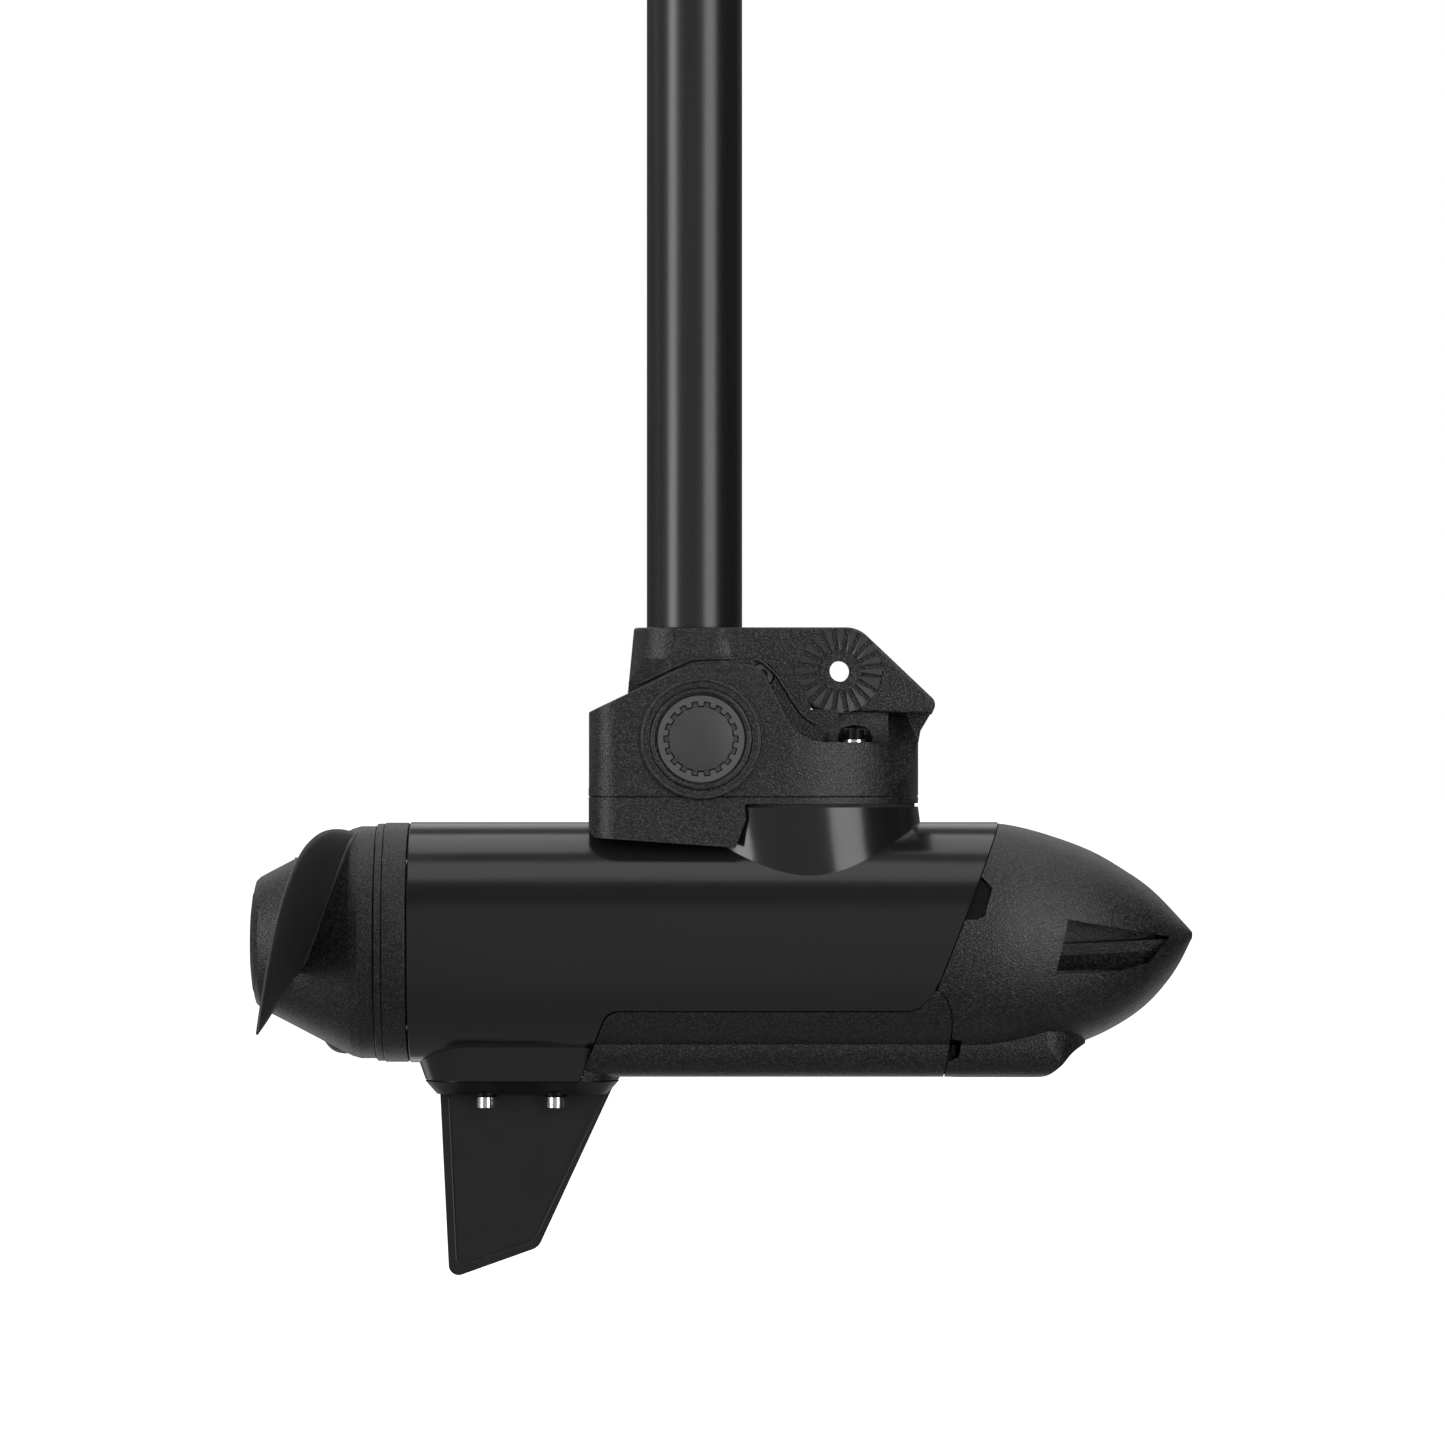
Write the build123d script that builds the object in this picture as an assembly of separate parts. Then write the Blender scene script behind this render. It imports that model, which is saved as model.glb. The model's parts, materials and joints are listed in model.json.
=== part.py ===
"""Lower unit of a bow-mount electric trolling motor, hung from its shaft.

Everything is drawn about the motor's own axis: X runs forward along the axis to the nose, Z up the shaft,
and Y across.  The last step moves it all down, so that the origin is the centre of the shaft's top end.
"""

from build123d import *
from math import cos, pi, radians, sin
import os

# ---- driving dimensions, mm -------------------------------------------------------------------------
SHAFT_R = 19.05  # a 1.5 in tube
SHAFT_WALL = 3.2
SPIGOT_R = 17.9  # the shaft's lower end, turned down to sit in its socket
SHAFT_TOP = 405.0  # height of the shaft's top end above the motor's axis

TUBE_R = 48.0  # motor housing
BORE_R = 43.5
TUBE_REAR = -113.4
PART_LINE_Z = -26.0  # lower edge of the glossy housing's side
FRONT_TILT = 21.4  # degrees, the front parting plane leans forward at its top
FRONT_X = 102.3  # where that plane crosses the motor's axis
PANEL_SKIN = 3.0
NOSE_SKIN = 3.6

POD_HALF = 26.5  # half width of the pod under the housing
SEAM = 0.5  # gap between neighbouring covers
GROOVE = 0.35  # chamfer where the pivot base meets its collar
POD_BOTTOM = -53.2
PEDESTAL_X = -68.8  # middle of the skeg's pedestal
PEDESTAL_BOTTOM = -54.6

PIVOT_X = 2.7
PIVOT_Z = 81.3
SLOT_HALF = 25.5  # half width of the slot between the pivot base's cheeks
TONGUE_R = 19.0
TRUNNION_R = 17.6
TRUNNION_END = 30.5  # distance of the trunnions' ends from the middle plane
CHEEK_HALF = 36.0
BASE_BOTTOM = 58.4
BASE_FLOOR = 61.9
LEDGE_Z = 80.0
COLLAR_BOTTOM = 55.6
BOSS_X = 45.5
BOSS_TOP = 54.2
SOCKET_TOP = 125.6
SOCKET_FLOOR = 100.0  # where the shaft's lower end sits
TOWER_HALF = 25.0
EAR_HALF = 22.0
NECK_HALF = 16.0

CLAMP_X = 27.0  # bolt that closes the socket on the shaft
CLAMP_Z = 106.8
CLAMP_BOLT_R = 2.5
CLAMP_HEAD_R = 4.3
CLAMP_SEAT = 17.0  # distance of the head's and the nut's seats from the middle plane

ROSETTE_X = 57.9
ROSETTE_Z = 108.2
ROSETTE_BORE_R = 4.2
ROSETTE_HUB_R = 7.8
ROSETTE_R = 16.9
ROSETTE_RIDGES = 20
ROSETTE_DEPTH = 0.7

BUTTON_TEETH = 18
BUTTON_R = 12.6
BUTTON_TOOTH_R = 14.5
BUTTON_IN = 31.2  # distance of the button's inner face from the middle plane
BUTTON_OUT = 35.6  # and of its teeth's outer face
BUTTON_TOP = 37.4  # and of the top of its dome
DOME_R = 62.0
SPRING_SEAT = 21.0

DRIVE_R = 6.0  # drive shaft
GAP = 0.05  # radial running clearance
CAP_REAR = -123.4  # rear face of the housing's end cap
CAP_SCREW_RING = 45.7
BEARING_R = 16.0
HUB_REAR = -175.4
PIN_X = -134.0  # drive pin through the shaft and the hub
PIN_R = 2.0
BLADE_TIP_R = 135.6
BLADE_SKIN = 2.6

STATOR = (-70.0, -14.0)  # rear and front faces of the stator's and the rotor's iron
SLOTS = 12
POLES = 6
ROTOR_R = 21.0
MAGNET_R = 24.6

CABLE_R = 4.5
CABLE_WAY_R = 7.0
CABLE_X = PIVOT_X  # the cable crosses the pivot's axis, where it flexes least

BASE_SCREWS = ((63.7, 27.0, LEDGE_Z), (12.0, 18.0, BASE_FLOOR))  # X, |Y| and seat height
BASE_SCREW_END = 40.0
SKEG_SCREW_X = (-83.2, -55.4)
SKEG_SCREW_Y = 9.0
BOARD_TOP = -5.4
BOARD_BOTTOM = -7.0
BOARD_CORNERS = ((32.5, -23.5), (32.5, 23.5), (73.5, -23.5), (73.5, 23.5))

# outside of the propeller's hub, as (x, radius)
HUB_OUTLINE = (
    (-133.0, 46.4), (-136.4, 45.4), (-142.0, 42.6), (-149.0, 38.9), (-168.0, 29.0), (-173.2, 26.2),
    (-174.8, 24.6), (HUB_REAR, 22.6), (HUB_REAR, 0),
)


# ---- helpers ----------------------------------------------------------------------------------------
def lathe(*outline):
    """A solid of revolution about the motor's axis, from (x, radius) corners."""
    face = make_face(Polyline(*[(x, 0, r) for x, r in outline], close=True))
    return revolve(face, Axis.X, 360)


def ring(x0, x1, r_out, r_in=0.0):
    """A ring or disc about the motor's axis."""
    return lathe((x0, r_in), (x0, r_out), (x1, r_out), (x1, r_in))


def side_plate(outline, y0, y1):
    """An (x, z) outline extruded from y0 to y1."""
    wire = Polyline(*[(x, y0, z) for x, z in outline], close=True)
    return extrude(make_face(wire), y1 - y0, dir=(0, 1, 0))


def box(x0, x1, y0, y1, z0, z1):
    """A block between two corners."""
    centre = ((x0 + x1) / 2, (y0 + y1) / 2, (z0 + z1) / 2)
    return Pos(*centre) * Box(x1 - x0, y1 - y0, z1 - z0)


def post(x, y, z0, z1, r, top_r=None):
    """A round post along Z, or a cone when top_r is given."""
    place = Pos(x, y, (z0 + z1) / 2)
    if top_r is None:
        return place * Cylinder(r, z1 - z0)
    return place * Cone(r, top_r, z1 - z0)


def cross_pin(x, z, y0, y1, r, end_r=None):
    """A round pin along Y, from y0 to y1, or a cone when end_r is given."""
    place = Pos(x, (y0 + y1) / 2, z) * Rot(-90, 0, 0)
    if end_r is None:
        return place * Cylinder(r, abs(y1 - y0))
    first, last = (r, end_r) if y1 > y0 else (end_r, r)
    return place * Cone(first, last, abs(y1 - y0))


def both_sides(shape):
    """The shape and its mirror image across the middle plane."""
    return shape + mirror(shape, Plane.XZ)


def group(solids):
    """Separate solids kept together in one node."""
    return Compound(children=[s for part in solids for s in part.solids()])


def around_motor(count, make, start=0.0):
    """make()'s solid repeated about the motor's axis."""
    return [Rot(start + i * 360 / count, 0, 0) * make() for i in range(count)]


# ---- outlines shared between pieces -----------------------------------------------------------------
def keel_tongue(gap=0.0):
    """Tongue on the pedestal that reaches into the bottom panel across their seam."""
    return box(-52, -38 + gap, -11 - gap, 11 + gap, PEDESTAL_BOTTOM + 1.4 - gap, -40 + gap)


def nose_tongue(gap=0.0):
    """Lip on the nose that reaches back under the bottom panel across their seam."""
    outer = TUBE_R - PANEL_SKIN - 0.05
    sleeve = ring(91 - gap, 103.6, outer, outer - 1.8) & box(90, 104, -60, 60, -44, -12)
    return sleeve + box(91 - gap, 103.6, -18 - gap, 18 + gap, POD_BOTTOM + 3 - gap, -41 + gap)


def front_cut(offset=0.0):
    """Everything ahead of the slanted front parting plane, moved forward by offset."""
    tilt = radians(FRONT_TILT)
    lean = Plane(origin=(FRONT_X + offset, 0, 0), z_dir=(cos(tilt), 0, -sin(tilt)))
    return extrude(lean * Rectangle(400, 400), 300)


def panel_window(gap=0.0):
    """The stretch of side under the parting line that the bottom panel covers, right through in Y."""
    top = PART_LINE_Z + gap
    corners = (
        (-46.6 - gap, -60), (-45.2 - gap, -53.3), (-34.6 - gap, top), (89.4, top), (97.0, -13.5),
        (150, -13.5), (150, -60),
    )
    rounded = (((-34.6 - gap, 0, top), 7.0), ((89.4, 0, top), 10.0))
    return round_corners(side_plate(corners, -60, 60), rounded)


def nose_window():
    """Where the nose cone takes over from the bottom panel."""
    edge = Spline(
        (95.4, 0, -17.6), (99.9, 0, -22.4), (101.6, 0, -30.0), (100.6, 0, -43.0), (98.6, 0, -60.0),
    )
    rest = Polyline((98.6, 0, -60.0), (260, 0, -60.0), (260, 0, 60.0), (124.7, 0, 60.0), (95.4, 0, -17.6))
    return extrude(make_face([*edge.edges(), *rest.edges()]), 80, dir=(0, 1, 0), both=True)


def pod(x0, x1, half, bottom, corner, side_lean=4.0):
    """A keel-like body under the tube: sides lean in slightly and the bottom's edges are rounded."""
    top = half + side_lean / 2
    foot = half - 0.6
    section = make_face(Polyline((-top, -20), (top, -20), (foot, bottom), (-foot, bottom), close=True))
    body = extrude(Plane(origin=(x0, 0, 0), x_dir=(0, 1, 0), z_dir=(1, 0, 0)) * section, x1 - x0)
    low = body.edges().filter_by(Axis.X).group_by(Axis.Z)[0]
    return fillet(low, corner)


def boss(grow=0.0, z0=20.0, z1=BOSS_TOP):
    """The oval boss under the knuckle, leaning back a little towards its top."""
    lower = Plane(origin=(BOSS_X, 0, 30)) * Ellipse(47.0 + grow, 39.4 + grow)
    upper = Plane(origin=(BOSS_X - 3.5, 0, BOSS_TOP)) * Ellipse(47.4 + grow, 38.5 + grow)
    body = loft([lower, upper])
    body += extrude(lower, z0 - 30)
    if z1 > BOSS_TOP:
        body += extrude(upper, z1 - BOSS_TOP)
    return body


def knuckle_plan(z0, z1, inset=0.0):
    """The pivot base's plan: blunt rounded rear end, flat sides and a half-oval front end."""
    half = CHEEK_HALF - inset
    rear = -41.9 + inset
    oval = Pos(35, 0) * Ellipse(54.4 - inset, half)
    tail = Pos(rear / 2 + 35, 0) * RectangleRounded(70 - rear, 2 * half, 12.5)
    face = (oval & Pos(85, 0) * Rectangle(100, 100)) + (tail & Pos(-15, 0) * Rectangle(100, 100))
    return Pos(0, 0, z0) * extrude(face, z1 - z0)


# ---- shaft side of the knuckle ----------------------------------------------------------------------
def shaft_tube():
    """Composite tube, turned down where it sits in the knuckle's socket."""
    inner_r = SHAFT_R - SHAFT_WALL
    body = post(0, 0, SOCKET_TOP, SHAFT_TOP, SHAFT_R)
    body += post(0, 0, SOCKET_FLOOR, SOCKET_TOP, SPIGOT_R)
    body -= post(0, 0, SOCKET_FLOOR - 1, SHAFT_TOP + 1, inner_r)
    return body - post(0, 0, SHAFT_TOP - 0.6, SHAFT_TOP, inner_r, inner_r + 0.6)


def tail_planes():
    """What lies outside the two leaning planes that narrow the neck towards its front."""
    normal = (0.9, 1.0, 0.42)
    cut = extrude(Plane(origin=(78, 22.5, 63), z_dir=normal) * Rectangle(300, 300), 60)
    return both_sides(cut & box(77, 140, 0, 60, 20, 140))


def accessory_ear():
    """Thick plate in front of the socket; its lower edge steps round the pivot base's cheeks."""
    ear = side_plate(
        ((6, SOCKET_TOP), (65.0, SOCKET_TOP), (96.4, 95.8), (94.2, 91), (48, 92.7), (42.5, 97.4),
         (39.7, 105.2), (33, 111.8), (6, 112)),
        -EAR_HALF, EAR_HALF,
    )
    upright = ear.edges().filter_by(Axis.Y)
    ear = fillet(upright.filter_by(lambda e: e.center().Z > 125 and e.center().X > 20), 12)
    ear = fillet(ear.edges().filter_by(Axis.Y).filter_by(lambda e: abs(e.center().Z - 95.8) < 0.5), 4)
    rims = [e for face in ear.faces().filter_by(Axis.Y) for e in face.edges() if e.center().X > 7]
    return fillet(rims, 1.4)


def neck():
    """Foot of the ear: flares out towards the ledge it rests on, and narrows into its front end."""
    sections = []
    stations = (
        (LEDGE_Z, 28.8, 52.3, 89.4), (84.0, 24.0, 51.6, 90.0), (88.0, 21.4, 51.2, 91.6),
        (93.5, 20.0, 51.6, 94.6),
    )
    for z, half, rear, front in stations:
        plan = RectangleRounded(front - rear, 2 * half, 4.0)
        sections.append(Plane(origin=((rear + front) / 2, 0, z)) * plan)
    flare = loft(sections) - tail_planes()
    inner = box(8, 60, -NECK_HALF, NECK_HALF, LEDGE_Z, 93)
    web = box(38, 57, -22.8, 22.8, LEDGE_Z, 93)
    spine = side_plate(((80, LEDGE_Z), (89.4, LEDGE_Z), (90.2, 84.4), (94.4, 91.6), (80, 93)), -5, 5)
    return flare + inner + web + spine


def upper_knuckle():
    """Shaft socket, accessory ear, neck and pivot tongue in one moulding."""
    tower = Plane(origin=(1.2, 0, 97.5)) * RectangleRounded(56.0, 2 * TOWER_HALF, 21)
    tower = extrude(tower, SOCKET_TOP - 97.5, taper=5.5)
    tower = fillet(tower.faces().sort_by(Axis.Z)[-1].edges(), 1.2)
    ear = accessory_ear()
    core = side_plate(
        ((-26.4, 98), (-12, 88), (-10, PIVOT_Z), (18, PIVOT_Z), (31, LEDGE_Z + 0.6), (40, 86),
         (46.5, 93.5), (42, 104), (36, 113), (-20, 113), (-26.0, 104)),
        -22.8, 22.8,
    )
    tongue = cross_pin(PIVOT_X, PIVOT_Z, -TOWER_HALF, TOWER_HALF, TONGUE_R)
    body = tower + ear + neck() + core + tongue
    body += cross_pin(PIVOT_X, PIVOT_Z, -TRUNNION_END, TRUNNION_END, TRUNNION_R)
    for x, y, seat in BASE_SCREWS[:1]:
        pocket = post(x, y, seat - 5, 85.4, 6.8) + post(x, y, 85.4, 88.2, 6.8, 3.0)
        body -= both_sides(pocket)
    # socket, cable way and the fan-shaped window that the cable sweeps as the knuckle folds
    body -= post(0, 0, SOCKET_FLOOR, 130, SPIGOT_R)
    body -= post(CABLE_X, 0, PIVOT_Z - 4, SOCKET_FLOOR + 1, CABLE_WAY_R)
    fan = [(PIVOT_X, PIVOT_Z + 6)]
    for a in range(-50, -167, -29):
        fan.append((PIVOT_X + 32 * cos(radians(a)), PIVOT_Z + 32 * sin(radians(a))))
    body -= side_plate(fan, -6.5, 6.5)
    # button and spring pockets in the trunnions
    for side in (-1, 1):
        body -= cross_pin(PIVOT_X, PIVOT_Z, side * SPRING_SEAT, side * 31, 15.0)
    # clamp slit and the bolt across it
    body -= box(15, 35.0, -0.9, 0.9, SOCKET_FLOOR - 2, 130)
    body -= cross_pin(CLAMP_X, CLAMP_Z, -40, 40, CLAMP_BOLT_R + 0.1)
    for side in (-1, 1):
        body -= cross_pin(CLAMP_X, CLAMP_Z, side * CLAMP_SEAT, side * 40, CLAMP_HEAD_R + 0.6)
    # accessory bore and rosettes
    body -= cross_pin(ROSETTE_X, ROSETTE_Z, -40, 40, ROSETTE_BORE_R)
    for side in (-1, 1):
        body -= rosette_valleys(side)
    return body


def rosette_valleys(side):
    """Radial valleys sunk in the ear's face, with one wider index slot."""
    outer = EAR_HALF + 0.5
    floor = EAR_HALF - ROSETTE_DEPTH
    step = 360 / ROSETTE_RIDGES
    spread = step / 4
    slot_faces = sorted((side * (floor - 0.5), side * outer))
    slot = Rot(0, step / 2, 0) * box(8.6, ROSETTE_R, *slot_faces, -2.6, 2.6)
    valleys = Pos(ROSETTE_X, 0, ROSETTE_Z) * slot
    for i in range(1, ROSETTE_RIDGES):
        middle = (i - 0.5) * step
        corners = []
        for r, a in ((ROSETTE_HUB_R, -1), (ROSETTE_R, -1), (ROSETTE_R, 1), (ROSETTE_HUB_R, 1)):
            turn = radians(middle + a * spread)
            corners.append((ROSETTE_X + r * cos(turn), ROSETTE_Z + r * sin(turn)))
        valleys += side_plate(corners, side * floor, side * outer)
    return valleys


def clamp_bolt():
    """Socket-head bolt that closes the slit in the socket."""
    head = cross_pin(CLAMP_X, CLAMP_Z, -21.8, -CLAMP_SEAT, CLAMP_HEAD_R)
    head -= cross_pin(CLAMP_X, CLAMP_Z, -23, -19.4, 2.2)
    return head + cross_pin(CLAMP_X, CLAMP_Z, -CLAMP_SEAT, 21.0, CLAMP_BOLT_R)


def clamp_nut():
    nut = Pos(CLAMP_X, CLAMP_SEAT, CLAMP_Z) * Rot(-90, 0, 0) * extrude(RegularPolygon(4.6, 6), 3.6)
    return nut - cross_pin(CLAMP_X, CLAMP_Z, 10, 30, CLAMP_BOLT_R)


def shaft_cable():
    return post(CABLE_X, 0, PIVOT_Z + CABLE_R, SHAFT_TOP - 42, CABLE_R)


def cable_plug():
    """Plug on the cable's upper end, sunk in the shaft's top end."""
    body = post(0, 0, SHAFT_TOP - 42, SHAFT_TOP - 34, 7.6, 10.5)
    body += post(0, 0, SHAFT_TOP - 34, SHAFT_TOP - 12, 12.0)
    body -= post(0, 0, SHAFT_TOP - 22, SHAFT_TOP, 9.8)
    for i in range(3):
        turn = 0.4 + i * 2 * pi / 3
        body += post(5.4 * cos(turn), 5.4 * sin(turn), SHAFT_TOP - 23, SHAFT_TOP - 14, 1.2)
    return body


def shaft_plug():
    """Rubber plug that holds the cable's plug in the middle of the shaft."""
    body = post(0, 0, SHAFT_TOP - 32, SHAFT_TOP - 18, SHAFT_R - SHAFT_WALL)
    return body - post(0, 0, SHAFT_TOP - 40, SHAFT_TOP, 12.0)


# ---- motor side of the knuckle ----------------------------------------------------------------------
def pivot_base():
    """Two cheeks that carry the pivot, a floor between them and a ledge in front."""
    side = side_plate(
        ((-50, BASE_BOTTOM), (-50, 88.0), (-41.9, 91.8), (-5.2, 109.3), (0, 110.6), (21, 110.8),
         (25.6, 109.4), (28.8, 105.5), (37.5, 88.5), (42.2, 82.9), (47.9, 80.5), (52, LEDGE_Z),
         (95, LEDGE_Z), (95, BASE_BOTTOM)),
        -50, 50,
    )
    body = knuckle_plan(BASE_BOTTOM, 115)
    body = chamfer(body.edges().group_by(Axis.Z)[0], GROOVE) & side
    for s in (-1, 1):
        ring_face = s * (CHEEK_HALF - 1)
        rim = cross_pin(PIVOT_X, PIVOT_Z, ring_face, s * (CHEEK_HALF + 1.3), 25.4, 22.4)
        body += rim & box(-60, 90, -60, 60, BASE_BOTTOM, 120)
        body -= cross_pin(PIVOT_X, PIVOT_Z, s * (CHEEK_HALF + 0.5), s * 40, 20.4)
        body -= cross_pin(PIVOT_X, PIVOT_Z, s * 20, s * 40, TRUNNION_R + GAP + 0.02)
    body -= tail_planes()
    body -= box(-60, PIVOT_X + TONGUE_R + 0.4, -SLOT_HALF, SLOT_HALF, BASE_FLOOR, 120)
    body -= box(0, 120, -SLOT_HALF, SLOT_HALF, LEDGE_Z, 120)
    body -= post(CABLE_X, 0, 50, 70, CABLE_WAY_R)
    for x, y, seat in BASE_SCREWS:
        body -= both_sides(post(x, y, 50, seat + 1, 2.1))
    x, y, seat = BASE_SCREWS[1]
    body -= both_sides(post(x, y, seat - 2.2, seat + 0.2, 2.1, 4.4))
    raised = [e for e in body.edges() if e.center().Z > LEDGE_Z + 0.2]
    cheek_tops = [e for e in raised if abs(abs(e.center().Y) - CHEEK_HALF) < 0.1]
    return fillet(cheek_tops, 0.8)


def base_collar():
    """Plate under the pivot base, with a skirt that hangs over the housing behind the boss."""
    body = knuckle_plan(30, BASE_BOTTOM)
    body = chamfer(body.edges().group_by(Axis.Z)[-1], GROOVE)
    body -= ring(-150, 150, 52.4)
    body -= boss(grow=1.7, z0=20, z1=COLLAR_BOTTOM)
    body -= side_plate(((22.6, COLLAR_BOTTOM), (15.6, 36), (45, 36), (45, COLLAR_BOTTOM)), -60, 60)
    body -= side_plate(((-60, 20), (-60, 43.6), (-30, 41.6), (30, 37.4), (120, 37.4), (120, 20)), -60, 60)
    body -= post(CABLE_X, 0, 30, 70, CABLE_WAY_R)
    for x, y, _ in BASE_SCREWS:
        body -= both_sides(post(x, y, 30, 70, 2.1))
    return body.solids().sort_by(SortBy.VOLUME)[-1]


def base_gasket():
    """Gasket between the boss and the collar."""
    seat = Plane(origin=(BOSS_X - 3.5, 0, BOSS_TOP))
    body = extrude(seat * Ellipse(46.0, 35.2), COLLAR_BOTTOM - BOSS_TOP)
    body &= knuckle_plan(40, 70, inset=0.8)
    body -= post(CABLE_X, 0, 30, 70, CABLE_WAY_R)
    for x, y, _ in BASE_SCREWS:
        body -= both_sides(post(x, y, 30, 70, 2.1))
    return body


def base_screws():
    """Two cap screws on the ledge and two sunk screws in the slot, all down into the boss."""
    x, y, seat = BASE_SCREWS[0]
    head = post(x, y, seat + 1.0, seat + 5.0, 3.6)
    head -= Pos(x, y, seat + 3.2) * extrude(RegularPolygon(2.0, 6), 3)
    long_screw = head + post(x, y, BASE_SCREW_END, seat + 1.0, 2.0)
    x, y, seat = BASE_SCREWS[1]
    sunk_head = post(x, y, seat - 2.2, seat, 2.0, 4.2)
    sunk_head -= Pos(x, y, seat - 1.4) * extrude(RegularPolygon(1.5, 6), 3)
    sunk = sunk_head + post(x, y, BASE_SCREW_END, seat - 2.2, 2.0)
    return group([both_sides(long_screw), both_sides(sunk)])


def base_washers():
    """Washers under the two cap screws."""
    x, y, seat = BASE_SCREWS[0]
    washer = post(x, y, seat, seat + 1.0, 4.6) - post(x, y, seat - 1, seat + 2, 2.2)
    return group([both_sides(washer)])


def spline_rings():
    """Toothed rings in the cheeks that the buttons' teeth lock into."""
    step = 360 / BUTTON_TEETH
    rings = []
    for s in (-1, 1):
        body = cross_pin(PIVOT_X, PIVOT_Z, s * 30.9, s * 33, TRUNNION_R + GAP + 0.02)
        body += cross_pin(PIVOT_X, PIVOT_Z, s * 33, s * 36.4, 17.2)
        body -= cross_pin(PIVOT_X, PIVOT_Z, s * 20, s * 40, 13.1)
        for i in range(BUTTON_TEETH):
            notch = Rot(0, i * step, 0) * box(12, BUTTON_TOOTH_R + 0.35, 20, 40, -1.35, 1.35)
            if s < 0:
                notch = mirror(notch, Plane.XZ)
            body -= Pos(PIVOT_X, 0, PIVOT_Z) * notch
        rings.append(body)
    return group(rings)


def lock_button(s):
    """Domed push button with teeth, on the side s."""
    step = 360 / BUTTON_TEETH
    body = cross_pin(PIVOT_X, PIVOT_Z, s * BUTTON_IN, s * (BUTTON_TOP + 1), BUTTON_R)
    body &= Pos(PIVOT_X, s * (BUTTON_TOP - DOME_R), PIVOT_Z) * Sphere(DOME_R)
    for i in range(BUTTON_TEETH):
        tooth = Rot(0, i * step, 0) * box(11, BUTTON_TOOTH_R, BUTTON_IN, BUTTON_OUT, -1.05, 1.05)
        if s < 0:
            tooth = mirror(tooth, Plane.XZ)
        body += Pos(PIVOT_X, 0, PIVOT_Z) * tooth
    body -= cross_pin(PIVOT_X, PIVOT_Z, s * (BUTTON_IN - 1), s * (BUTTON_IN + 2.4), 9.0)
    return body


def button_spring(s):
    """Coil spring between the trunnion's pocket and the button."""
    pitch = (BUTTON_IN + 2.4 - SPRING_SEAT - 1.2) / 4
    coil = Helix(pitch, pitch * 4, 7.2)
    wire = sweep(Plane(origin=coil @ 0, z_dir=coil % 0) * Circle(0.6), path=coil)
    placed = Rot(-90 * s, 0, 0) * wire
    return Pos(PIVOT_X, s * (SPRING_SEAT + 0.6), PIVOT_Z) * placed


def motor_cable():
    """Cable from the cable gland in the housing up to the pivot."""
    return post(CABLE_X, 0, 20, PIVOT_Z - CABLE_R, CABLE_R)


def cable_gland():
    """Sleeve with a hexagonal foot that seals the cable's way into the housing."""
    body = post(CABLE_X, 0, 38.2, BASE_FLOOR, 6.9)
    body += Pos(CABLE_X, 0, 38.2) * extrude(RegularPolygon(8.0, 6), 3.2)
    return body - post(CABLE_X, 0, 20, 80, CABLE_R)


# ---- housing ----------------------------------------------------------------------------------------
def pedestal():
    """Root of the skeg: narrows downwards, and runs forward into the bottom panel."""
    top = Plane(origin=(PEDESTAL_X + 0.3, 0, -34)) * RectangleRounded(92, 54, 24)
    low = Plane(origin=(PEDESTAL_X, 0, PEDESTAL_BOTTOM)) * RectangleRounded(77.2, 42, 19)
    return loft([low, top])


def motor_housing():
    """Glossy tube with the knuckle's boss on top and the skeg's pedestal below."""
    tube = lathe(
        (TUBE_REAR, 0), (TUBE_REAR, TUBE_R - 0.4), (TUBE_REAR + 0.4, TUBE_R), (130, TUBE_R), (130, 0),
    )
    body = tube + boss() + pedestal()
    body -= front_cut()
    body -= panel_window() & (ring(-60, 150, 90) - ring(-60, 150, TUBE_R - PANEL_SKIN))
    body += keel_tongue()
    body -= ring(TUBE_REAR - 1, 150, BORE_R)
    body -= ring(90.4, 150, TUBE_R - PANEL_SKIN)
    body -= post(CABLE_X, 0, 30, 70, CABLE_WAY_R)
    for x, y, _ in BASE_SCREWS:
        body -= both_sides(post(x, y, BASE_SCREW_END, 70, 2.0))
    for x in SKEG_SCREW_X:
        body -= both_sides(post(x, SKEG_SCREW_Y, PEDESTAL_BOTTOM - 1, -46.5, 2.1))
    for hole in around_motor(4, lambda: Pos(0, 0, CAP_SCREW_RING) * ring(TUBE_REAR - 1, -103, 1.25), 45):
        body -= hole
    return body.solids().sort_by(SortBy.VOLUME)[-1]


def bottom_panel():
    """Textured cover under the housing, from the pedestal to the nose."""
    body = ring(-60, 130, TUBE_R) + pod(-60, 130, POD_HALF, POD_BOTTOM, 14) + pedestal()
    body -= ring(-70, 150, TUBE_R - PANEL_SKIN + 0.02)
    body &= panel_window(-SEAM)
    body -= front_cut(-SEAM) & box(60, 150, -80, 80, -18, 0)
    body -= nose_window()
    body -= keel_tongue(0.1) + nose_tongue(0.1)
    return body.solids().sort_by(SortBy.VOLUME)[-1]


def nose_sections(inset):
    """Round sections of the nose from its root to its tip, as (x, centre height, radius)."""
    stations = (
        (88, 0.0, TUBE_R), (104, 0.0, TUBE_R), (122, 0.0, 47.4), (135, -0.2, 45.0), (148, -0.6, 41.3),
        (160.6, -0.9, 36.4), (171, -1.2, 30.6), (180, -1.0, 24.3), (187, -0.5, 17.5), (192, 0.2, 11.5),
        (196, 1.6, 5.8), (198.9, 2.9, 1.2),
    )
    return [(x, z, r - inset) for x, z, r in stations if r - inset > 4 or not inset]


def nose_solid(inset=0.0):
    """The nose as a full solid, or its cavity when inset is given."""
    faces = [Plane(origin=(x, 0, z), z_dir=(1, 0, 0)) * Circle(r) for x, z, r in nose_sections(inset)]
    return loft(faces)


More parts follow.
